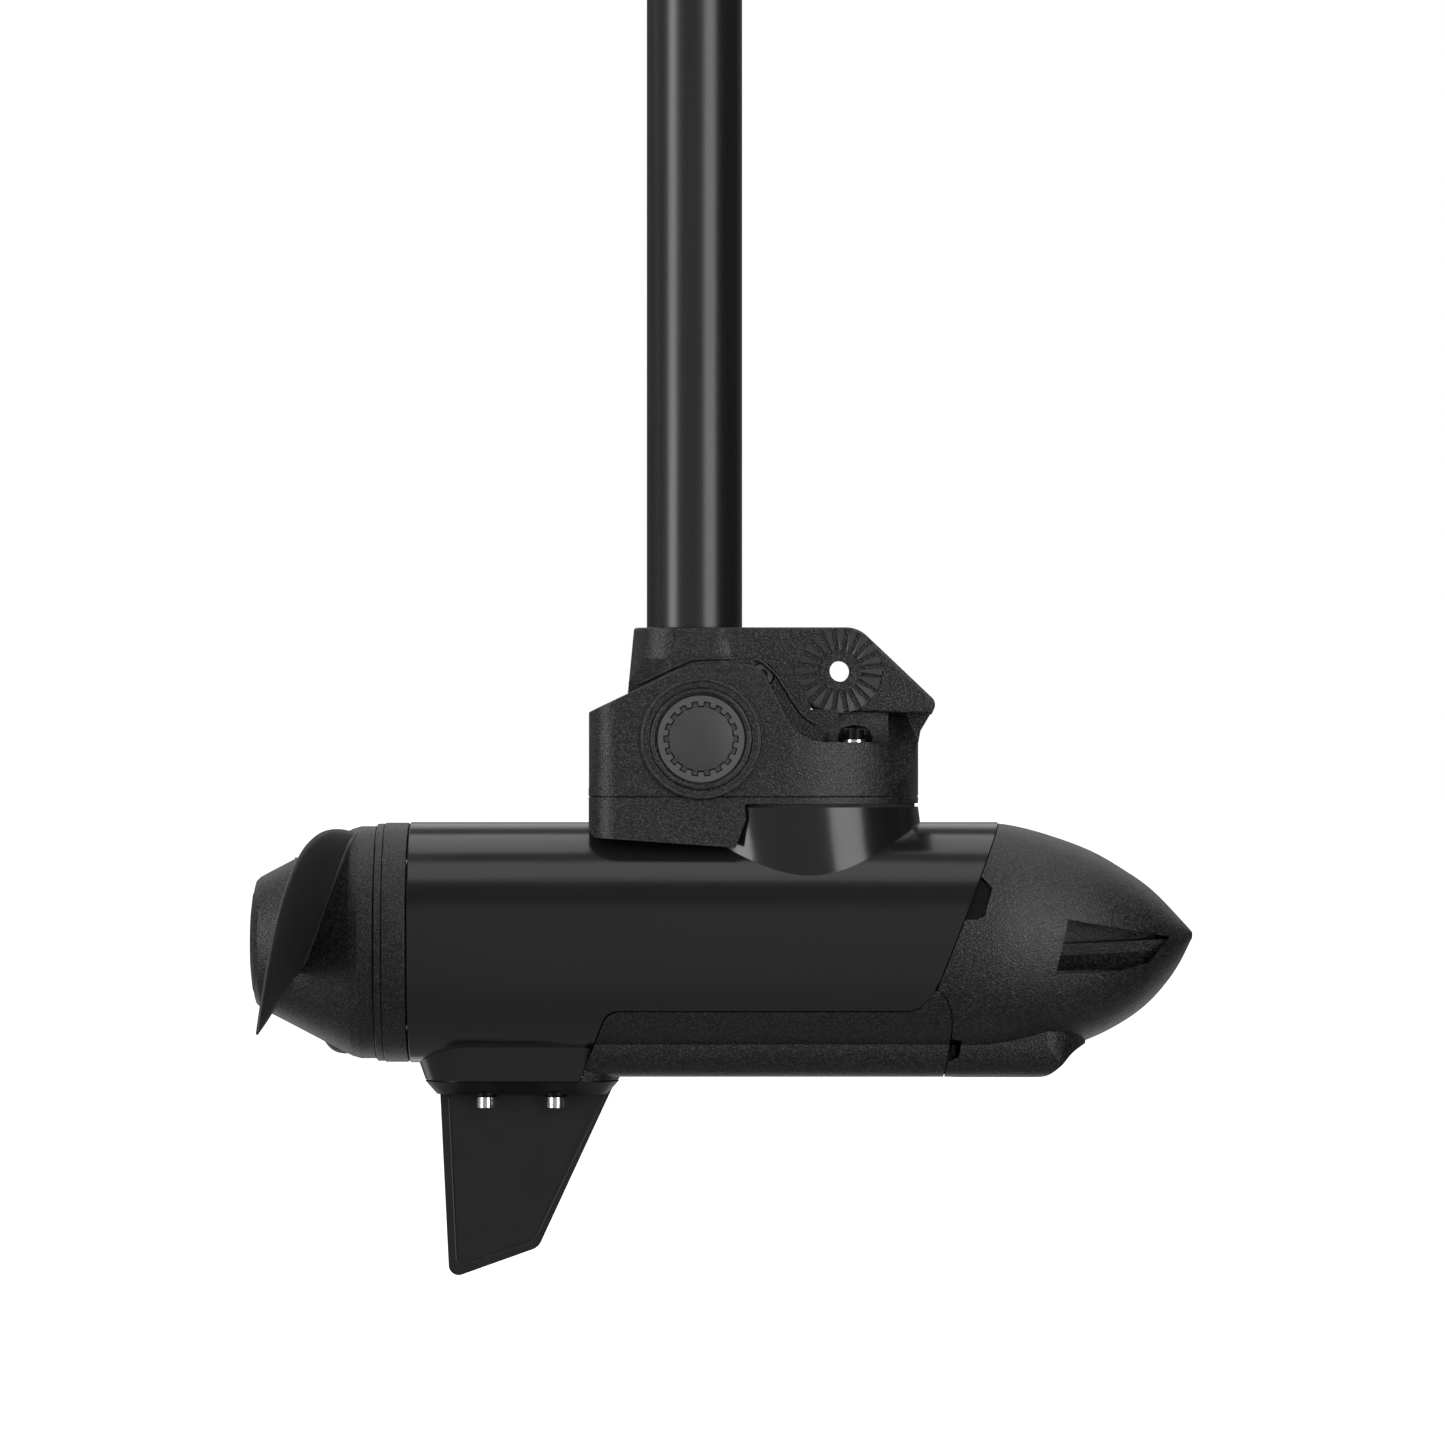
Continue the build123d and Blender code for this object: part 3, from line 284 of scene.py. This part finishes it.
def black_rubber():
    s = Shader("black_rubber")
    s.tint(s.noise(200), grey(0.008), grey(0.016))
    s.rough(s.noise(150), 0.7, 0.85)
    s.bump(s.noise(2000), 0.3, 0.00006)
    return s.material


def cast_aluminium():
    s = Shader("cast_aluminium", Metallic=1.0)
    s.tint(s.noise(150), grey(0.5), grey(0.6))
    s.rough(s.noise(500), 0.32, 0.48)
    s.bump(s.noise(1800), 0.4, 0.00005)
    return s.material


def circuit_board():
    s = Shader("circuit_board", IOR=1.5)
    s.tint(s.cells(260), (0.004, 0.03, 0.014), (0.01, 0.07, 0.03))
    s.rough(s.noise(400), 0.3, 0.42)
    s.bump(s.cells(600), 0.3, 0.00005)
    return s.material


def laminated_iron():
    s = Shader("laminated_iron", Metallic=0.9)
    layers = s.noise(900, detail=0.0, stretch=(2.0, 0.02, 0.02))
    s.tint(layers, grey(0.1), grey(0.26))
    s.rough(s.noise(500), 0.4, 0.55)
    s.bump(layers, 0.5, 0.00008)
    return s.material


def varnished_copper():
    s = Shader("varnished_copper", Metallic=0.9)
    wires = s.noise(1100, detail=1.0, stretch=(0.05, 1, 1))
    s.tint(wires, (0.22, 0.07, 0.02), (0.5, 0.2, 0.09))
    s.rough(s.noise(300), 0.25, 0.4)
    s.bump(wires, 0.6, 0.0002)
    return s.material


def nickel_magnet():
    s = Shader("nickel_magnet", Metallic=1.0)
    s.tint(s.noise(300), grey(0.4), grey(0.5))
    s.rough(s.noise(700), 0.22, 0.34)
    return s.material


def plain_bronze():
    s = Shader("plain_bronze", Metallic=1.0)
    s.tint(s.noise(300), (0.34, 0.2, 0.08), (0.46, 0.29, 0.12))
    s.rough(s.noise(600), 0.3, 0.45)
    return s.material


MATERIALS = {
    "textured_plastic": leather_grain_plastic(),
    "gloss_paint": gloss_black_paint(),
    "shaft_composite": shaft_composite(),
    "satin_plastic": satin_black_plastic(),
    "button_plastic": button_plastic(),
    "dark_steel": dark_oxide_steel(),
    "bright_steel": polished_steel(),
    "steel": ground_steel(),
    "rubber": black_rubber(),
    "cable_sheath": black_rubber(),
    "gland_plastic": satin_black_plastic(),
    "aluminium": cast_aluminium(),
    "circuit_board": circuit_board(),
    "laminated_iron": laminated_iron(),
    "copper": varnished_copper(),
    "magnet": nickel_magnet(),
    "bronze": plain_bronze(),
}
OWN_LOOKS = {  # nodes that look a little different from the rest of their slot
    "spline_rings": ring_plastic(), "nose_latches": blackened_steel(), "base_screws": blackened_steel(),
}
# the edge look is paler plastic, a painted highlight on beads and ridges
EXTRA_LOOKS = {"blade": blade_plastic(), "edge_highlight": edge_highlight_plastic(), "dark_reflection": blackened_steel()}
SLOT_OF = {part["node"]: part["material_slot"] for part in frame["record"]["subparts"]}


# ---- shading of the CAD nodes -----------------------------------------------------------------------
def smooth_by_angle(limit):
    """A geometry node group that smooths faces and keeps edges over the limit, in degrees, sharp."""
    group = bpy.data.node_groups.new("smooth_by_angle", "GeometryNodeTree")
    group.interface.new_socket("Geometry", in_out="INPUT", socket_type="NodeSocketGeometry")
    group.interface.new_socket("Geometry", in_out="OUTPUT", socket_type="NodeSocketGeometry")
    new = group.nodes.new
    start, end = new("NodeGroupInput"), new("NodeGroupOutput")
    strip = new("GeometryNodeRemoveAttribute")
    strip.inputs["Name"].default_value = "custom_normal"
    angle = new("GeometryNodeInputMeshEdgeAngle")
    compare = new("FunctionNodeCompare")
    compare.operation = "LESS_THAN"
    compare.inputs[1].default_value = math.radians(limit)
    edges, faces = new("GeometryNodeSetShadeSmooth"), new("GeometryNodeSetShadeSmooth")
    edges.domain = "EDGE"
    link = group.links.new
    link(start.outputs[0], strip.inputs["Geometry"])
    link(strip.outputs["Geometry"], faces.inputs["Geometry"])
    link(faces.outputs["Geometry"], edges.inputs["Geometry"])
    link(angle.outputs["Unsigned Angle"], compare.inputs[0])
    link(compare.outputs["Result"], edges.inputs["Shade Smooth"])
    link(edges.outputs["Geometry"], end.inputs[0])
    return group


SMOOTH = smooth_by_angle(28)
BEVELS = {  # width of the rounded edges, mm
    "upper_knuckle": 0.45, "base_collar": 0.4, "bottom_panel": 0.2, "rear_end_cap": 0.2, "skeg": 0.25,
    "spline_rings": 0.12, "front_button": 0.15, "rear_button": 0.15,
}


def dress(name, node):
    """A CAD node's material, with fine rounded edges on the visible mouldings that need them."""
    node.data.materials.clear()
    node.data.materials.append(OWN_LOOKS.get(name) or MATERIALS[SLOT_OF[name]])
    if name not in BEVELS:
        return
    weld = node.modifiers.new("weld", "WELD")
    weld.merge_threshold = 2e-6
    bevel = node.modifiers.new("bevel", "BEVEL")
    bevel.width = BEVELS[name] * MM
    bevel.segments = 2
    bevel.limit_method = "ANGLE"
    bevel.angle_limit = math.radians(32)
    smooth = node.modifiers.new("smooth", "NODES")
    smooth.node_group = SMOOTH
    level = node.modifiers.new("level", "WEIGHTED_NORMAL")
    level.keep_sharp = True
    level.weight = 80


for node_name, node_object in NODES.items():
    dress(node_name, node_object)


# ---- fine shapes ------------------------------------------------------------------------------------
def place(x, y, z):
    """A point given in mm from the motor's axis, in the frame's metres."""
    return Vector((x * MM, y * MM, z * MM + AXIS_Z))


def smooth_mesh(name, points, faces, body, slot, look=None):
    """A smooth-shaded piece that rides on a body, in its slot's material or one of the extra looks."""
    data = bpy.data.meshes.new(name)
    data.from_pydata([tuple(p) for p in points], [], faces)
    data.validate()
    data.shade_smooth()
    made = bpy.data.objects.new(name, data)
    bpy.context.scene.collection.objects.link(made)
    data.materials.append(EXTRA_LOOKS[look] if look else MATERIALS[slot])
    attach(made, body)
    return made


def tube(name, path, radii, body, slot, look=None, sides=10):
    """A round bead along a path, closed at both ends."""
    points, faces = [], []
    for i, middle in enumerate(path):
        before, after = path[max(i - 1, 0)], path[min(i + 1, len(path) - 1)]
        along = (after - before).normalized()
        across = along.cross(Vector((0, 1, 0)))
        if across.length < 0.2:
            across = along.cross(Vector((0, 0, 1)))
        across.normalize()
        up = across.cross(along)
        for k in range(sides):
            turn = 2 * math.pi * k / sides
            points.append(middle + (across * math.cos(turn) + up * math.sin(turn)) * radii[i])
    for i in range(len(path) - 1):
        for k in range(sides):
            a, b = i * sides + k, i * sides + (k + 1) % sides
            faces.append((a, b, b + sides, a + sides))
    faces.append(tuple(range(sides))[::-1])
    faces.append(tuple(range((len(path) - 1) * sides, len(path) * sides)))
    return smooth_mesh(name, points, faces, body, slot, look)


def turned(name, profile, middle, side, body, slot, steps=96):
    """A ring turned about a cross axis: its closed profile is a list of (radius, distance outwards)."""
    points, faces = [], []
    count = len(profile)
    for i in range(steps):
        turn = 2 * math.pi * i / steps
        for radius, out in profile:
            x = middle[0] + radius * math.cos(turn)
            z = middle[1] + radius * math.sin(turn)
            points.append(place(x, side * out, z))
    for i in range(steps):
        for k in range(count):
            a, b = i * count + k, i * count + (k + 1) % count
            c, d = (i + 1) % steps * count + (k + 1) % count, (i + 1) % steps * count + k
            faces.append((a, b, c, d) if side < 0 else (d, c, b, a))
    return smooth_mesh(name, points, faces, body, slot)


def blade_point(t, u):
    """A point on a blade's middle surface: t runs from root to tip, u from the leading edge."""
    t = t * (2 - t)
    lead = (74.6 - 87.6 * t, -132.0 - 34.4 * t**0.7, 45.0 + 89.6 * (t + t**3) / 2)
    trail = (-18.5 + 4.9 * t, -155.6 - 11.2 * t**0.6, 35.6 + 99.0 * t)
    angle, x, radius = (a + (b - a) * u for a, b in zip(lead, trail))
    turn = math.radians(angle)
    if t == 0:  # the root is sunk into the hub
        radius -= 3.0
    return Vector((x, -radius * math.cos(turn), radius * math.sin(turn)))


def blade(name, node, turned_over):
    """A thin propeller blade with tapered edges, in the place of the CAD's plain one."""
    rows, columns = 36, 24
    front, back = [], []
    for i in range(rows + 1):
        t = i / rows * 0.985
        for j in range(columns + 1):
            u = j / columns
            middle = blade_point(t, u)
            along = blade_point(min(t + 0.01, 0.99), u) - blade_point(max(t - 0.01, 0.001), u)
            across = blade_point(t, min(u + 0.02, 1)) - blade_point(t, max(u - 0.02, 0))
            normal = along.cross(across).normalized()
            swell = (4 * u * (1 - u)) ** 0.5
            half = 0.28 + (1.25 * (1 - t) + 0.25) * swell
            half *= min(1.0, (1 - t) * 12 + 0.15)
            front.append(middle + normal * half)
            back.append(middle - normal * half)
    points = []
    for p in front + back:
        spun = p.copy()
        if turned_over:
            spun.y, spun.z = -p.y, -p.z
        points.append(place(*spun))
    faces = []
    wide = columns + 1
    shift = len(front)
    for i in range(rows):
        for j in range(columns):
            a = i * wide + j
            faces.append((a, a + 1, a + 1 + wide, a + wide))
            faces.append((a + shift + wide, a + 1 + wide + shift, a + 1 + shift, a + shift))
    rim = list(range(wide)) + [i * wide + columns for i in range(1, rows + 1)]
    rim += [rows * wide + j for j in range(columns - 1, -1, -1)]
    rim += [i * wide for i in range(rows - 1, 0, -1)]
    for k, a in enumerate(rim):
        b = rim[(k + 1) % len(rim)]
        faces.append((b, a, a + shift, b + shift))
    made = smooth_mesh(name, points, faces, "propeller", SLOT_OF[node], "blade")
    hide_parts(node)


def blade_bead(name, along, radius, turned_over):
    """A rounded bead on a blade, through the given (t, u) points of its middle surface."""
    path = []
    for t, u in along:
        p = blade_point(t, u)
        path.append(place(p.x, -p.y, -p.z) if turned_over else place(*p))
    radii = [radius * MM * min(1.0, 0.25 + min(i, len(path) - 1 - i) / 6) for i in range(len(path))]
    # painted highlight: the bead is drawn in the paler edge plastic along the blade's root and edge
    tube(name, path, radii, "propeller", "satin_plastic", "edge_highlight")


ROOT = [(0.01, i / 40) for i in range(41)]
LEADING = [(0.2 + 0.76 * i / 40, 0.0) for i in range(41)]
for side_name, blade_node, over in (("near", "front_blade", False), ("far", "rear_blade", True)):
    blade(side_name + "_blade_looks", blade_node, over)
    blade_bead(side_name + "_blade_root", ROOT, 1.7, over)
    blade_bead(side_name + "_blade_edge", LEADING, 0.36, over)


def surface_of(*names):
    """A ray-casting tree over CAD nodes."""
    points, faces = [], []
    for name in names:
        start = len(points)
        data = NODES[name].data
        points += [NODES[name].matrix_world @ v.co for v in data.vertices]
        faces += [tuple(start + k for k in f.vertices) for f in data.polygons]
    return BVHTree.FromPolygons(points, faces)


def rounded(corners, radius):
    """Points along a line through the corners, with each inner corner rounded."""
    corners = [Vector((x, 0, z)) for x, z in corners]
    points = [corners[0]]
    for before, corner, after in zip(corners, corners[1:], corners[2:]):
        start = corner + (before - corner).normalized() * radius
        end = corner + (after - corner).normalized() * radius
        for k in range(9):
            t = k / 8
            points.append(start * (1 - t) ** 2 + corner * 2 * t * (1 - t) + end * t * t)
    points.append(corners[-1])
    return points


def evenly(points, step):
    """The same line with points every step mm."""
    spaced = [points[0]]
    for a, b in zip(points, points[1:]):
        count = max(1, round((b - a).length / step))
        spaced += [a + (b - a) * (k + 1) / count for k in range(count)]
    return spaced


def cheek_border(name, side):
    """The raised border on the upper knuckle that follows the pivot base's cheek."""
    tree = surface_of("upper_knuckle")
    line = rounded(
        ((-25.0, 101.6), (-4.0, 111.4), (0, 112.9), (22.0, 113.4), (28.6, 111.6), (32.4, 107.0),
         (41.6, 92.2), (46.0, 88.0), (52.0, 86.2)), 2.6,
    )
    path = []
    for p in evenly(line, 0.8):
        start = place(p.x, side * 60, p.z)
        hit, _, _, _ = tree.ray_cast(start, Vector((0, -side, 0)))
        if hit is None or (path and abs(hit.y - path[-1].y) > 4 * MM):
            continue
        path.append(hit)
    for _ in range(4):
        path = [path[0]] + [(a + b * 2 + c) / 4 for a, b, c in zip(path, path[1:], path[2:])] + [path[-1]]
    radii = [0.75 * MM * min(1.0, 0.1 + min(i, len(path) - 1 - i) / 8) for i in range(len(path))]
    tube(name, path, radii, "shaft", "textured_plastic")


def pivot_lip(name, side):
    """The rounded lip round a button's recess and the soft ridge outside it."""
    lip = ((18.1, 35.2), (18.1, 36.9), (18.5, 37.25), (19.2, 37.3), (20.0, 37.0), (20.6, 36.4), (20.6, 35.2))
    turned(name + "_lip", lip, PIVOT, side, "motor", "textured_plastic")
    ridge = []
    for i in range(12):
        turn = 2 * math.pi * i / 12
        ridge.append((23.2 + 0.95 * math.cos(turn), 36.75 - 0.95 * math.sin(turn)))
    turned(name + "_ridge", ridge, PIVOT, side, "motor", "textured_plastic")


def rosette_ridges(name, side):
    """Wedge-shaped ridges in the ear's rosette, each with a sloped face, and one wide index key."""
    points, faces = [], []
    base, top = ROSETTE_FACE, ROSETTE_FACE + 0.95
    for i in range(ROSETTE_RIDGES):
        middle = 2 * math.pi * i / ROSETTE_RIDGES
        corners = []
        key = i == ROSETTE_RIDGES - 1
        for radius, half in ((8.4, 0.045), (16.6, 0.098 if not key else 0.15)):
            for sign in (-1, 1):
                a = middle + sign * half
                x = ROSETTE[0] + radius * math.cos(a)
                z = ROSETTE[1] + radius * math.sin(a)
                slope = 0.5 if sign > 0 and not key else 0.0
                for out in (base, top - slope):
                    corners.append(place(x, side * out, z))
        start = len(points)
        points += corners
        for quad in ((0, 1, 3, 2), (4, 6, 7, 5), (0, 4, 5, 1), (2, 3, 7, 6), (1, 5, 7, 3), (0, 2, 6, 4)):
            faces.append(tuple(start + k for k in quad))
    # painted highlight: the ridges are drawn in the paler edge plastic
    made = smooth_mesh(name, points, faces, "shaft", "textured_plastic", "edge_highlight")
    made.data.shade_flat()
    tidy = bmesh.new()
    tidy.from_mesh(made.data)
    bmesh.ops.recalc_face_normals(tidy, faces=tidy.faces)
    tidy.to_mesh(made.data)
    tidy.free()


def skeg_line(name, side):
    """The fine raised line that runs round the fin, a little inside its edge."""
    corners = ((-98.2, -61.0), (-95.0, -129.6), (-64.0, -119.4), (-35.6, -61.0))
    path = [place(p.x, side * 2.45, p.z) for p in evenly(rounded(corners, 4.0), 1.5)]
    # painted highlight: the line is drawn in the paler edge plastic
    tube(name, path, [0.24 * MM] * len(path), "motor", "satin_plastic", "edge_highlight", sides=8)


def screw_dark_reflection_rings(name):
    """Black rings round the heads of the skeg's screws, down to its flange: a painted dark reflection, the
    dark rims of the polished heads.
    """
    points, faces = [], []
    for x in SKEG_SCREWS_X:
        for y in SKEG_SCREWS_Y:
            start, steps = len(points), 32
            for radius, z in ((3.45, -61.4), (4.5, -61.4), (4.7, -61.0), (4.7, -58.3), (3.45, -58.3)):
                for k in range(steps):
                    turn = 2 * math.pi * k / steps
                    points.append(place(x + radius * math.cos(turn), y + radius * math.sin(turn), z))
            for ring in range(5):
                for k in range(steps):
                    a, b = ring * steps + k, ring * steps + (k + 1) % steps
                    c, d = (ring + 1) % 5 * steps + (k + 1) % steps, (ring + 1) % 5 * steps + k
                    faces.append((start + a, start + b, start + c, start + d))
    # painted dark reflection: black rings where the polished screw heads mirror the dark room
    smooth_mesh(name, points, faces, "motor", "rubber", "dark_reflection")


for side_name, outwards in (("near", -1), ("far", 1)):
    cheek_border(side_name + "_cheek_border", outwards)
    pivot_lip(side_name + "_pivot", outwards)
    rosette_ridges(side_name + "_rosette_ridges", outwards)
    skeg_line(side_name + "_skeg_line", outwards)
screw_dark_reflection_rings("skeg_screw_dark_reflection_rings")


# ---- studio -----------------------------------------------------------------------------------------
def camera():
    """A long lens straight at the object's side."""
    data = bpy.data.cameras.new("camera")
    data.lens = 187.0
    data.sensor_width = 36.0
    made = bpy.data.objects.new("camera", data)
    made.location = (0.0112, -3.0, -0.3172)
    made.rotation_euler = (math.radians(90), 0, 0)
    bpy.context.scene.collection.objects.link(made)
    bpy.context.scene.camera = made


def softbox(name, towards, elevation, azimuth, distance, width, height, power):
    """A rectangular light aimed at a point; azimuth 0 is the camera's side, positive to the right."""
    data = bpy.data.lights.new(name, "AREA")
    data.shape = "RECTANGLE"
    data.size = width
    data.size_y = height
    data.energy = power
    made = bpy.data.objects.new(name, data)
    e, a = math.radians(elevation), math.radians(azimuth)
    out = Vector((math.sin(a) * math.cos(e), -math.cos(a) * math.cos(e), math.sin(e)))
    made.location = Vector(towards) + out * distance
    made.rotation_euler = out.to_track_quat("Z", "Y").to_euler()
    made.visible_camera = False
    bpy.context.scene.collection.objects.link(made)


def world():
    """A white backdrop to the camera; to everything else a dim room that darkens to the right and above."""
    made = bpy.data.worlds.new("studio")
    bpy.context.scene.world = made
    made.use_nodes = True
    tree = made.node_tree
    new, link = tree.nodes.new, tree.links.new
    white = tree.nodes["Background"]
    white.inputs["Color"].default_value = (1, 1, 1, 1)
    direction = new("ShaderNodeTexCoord")
    split = new("ShaderNodeSeparateXYZ")
    link(direction.outputs["Generated"], split.inputs[0])
    forward = new("ShaderNodeMath")
    forward.operation = "MULTIPLY"
    forward.inputs[1].default_value = -1.0
    link(split.outputs["Y"], forward.inputs[0])
    height = new("ShaderNodeMath")
    height.operation = "ARCTAN2"
    link(split.outputs["Z"], height.inputs[0])
    link(forward.outputs[0], height.inputs[1])
    turn = new("ShaderNodeMapRange")
    turn.inputs["From Min"].default_value = -math.pi
    turn.inputs["From Max"].default_value = math.pi
    link(height.outputs[0], turn.inputs["Value"])
    bands = new("ShaderNodeValToRGB")
    stops = (  # height above the horizon in degrees, and brightness
        (-180, 0.1), (-168, 0.15), (-158, 0.9), (-147, 0.9), (-140, 0.25), (-60, 0.28), (-30, 0.36),
        (34, 0.36), (41, 0.08), (57, 0.08), (64, 0.24), (140, 0.18), (147, 0.9), (158, 0.9),
        (168, 0.15), (180, 0.1),
    )
    while len(bands.color_ramp.elements) < len(stops):
        bands.color_ramp.elements.new(0.5)
    for element, (degrees, value) in zip(bands.color_ramp.elements, stops):
        element.position = (degrees + 180) / 360
        element.color = (value, value, value, 1)
    link(turn.outputs["Result"], bands.inputs["Fac"])
    right = new("ShaderNodeMapRange")
    for socket, value in (("From Min", 0.62), ("From Max", 0.85), ("To Min", 1.0), ("To Max", 0.08)):
        right.inputs[socket].default_value = value
    link(split.outputs["X"], right.inputs["Value"])
    fill = new("ShaderNodeBackground")
    link(bands.outputs["Color"], fill.inputs["Color"])
    link(right.outputs["Result"], fill.inputs["Strength"])
    path = new("ShaderNodeLightPath")
    mix = new("ShaderNodeMixShader")
    link(path.outputs["Is Camera Ray"], mix.inputs["Fac"])
    link(fill.outputs["Background"], mix.inputs[1])
    link(white.outputs["Background"], mix.inputs[2])
    link(mix.outputs["Shader"], tree.nodes["World Output"].inputs["Surface"])


def floor():
    """A pale floor below the hanging motor."""
    below = (0, 0, CAD_BOX[0].z - 0.12)
    bpy.ops.mesh.primitive_circle_add(vertices=96, radius=30, fill_type="NGON", location=below)
    made = bpy.context.object
    made.name = "floor"
    paint = bpy.data.materials.new("pale_floor")
    paint.use_nodes = True
    shader = paint.node_tree.nodes["Principled BSDF"]
    shader.inputs["Base Color"].default_value = (0.85, 0.85, 0.85, 1)
    shader.inputs["Roughness"].default_value = 0.9
    shader.inputs["Emission Color"].default_value = (1, 1, 1, 1)
    shader.inputs["Emission Strength"].default_value = 1.0
    made.data.materials.append(paint)
    made.visible_glossy = False
    made.visible_diffuse = False


camera()
world()
floor()
MOTOR = (0.0, 0.0, AXIS_Z)
LIGHTS_AWAY = 1.6
softbox("top_front", MOTOR, 73, 0, LIGHTS_AWAY, 3.0, 0.6, 6)
softbox("top_back", MOTOR, 111, 0, LIGHTS_AWAY, 3.0, 0.9, 11)
softbox("left_strip", (0, 0, -0.05), 6, -54, LIGHTS_AWAY, 0.55, 2.2, 21)
softbox("right_strip", (0, 0, 0.0), 6, 38, LIGHTS_AWAY, 0.8, 2.2, 22)
bpy.context.scene.view_settings.view_transform = "Standard"
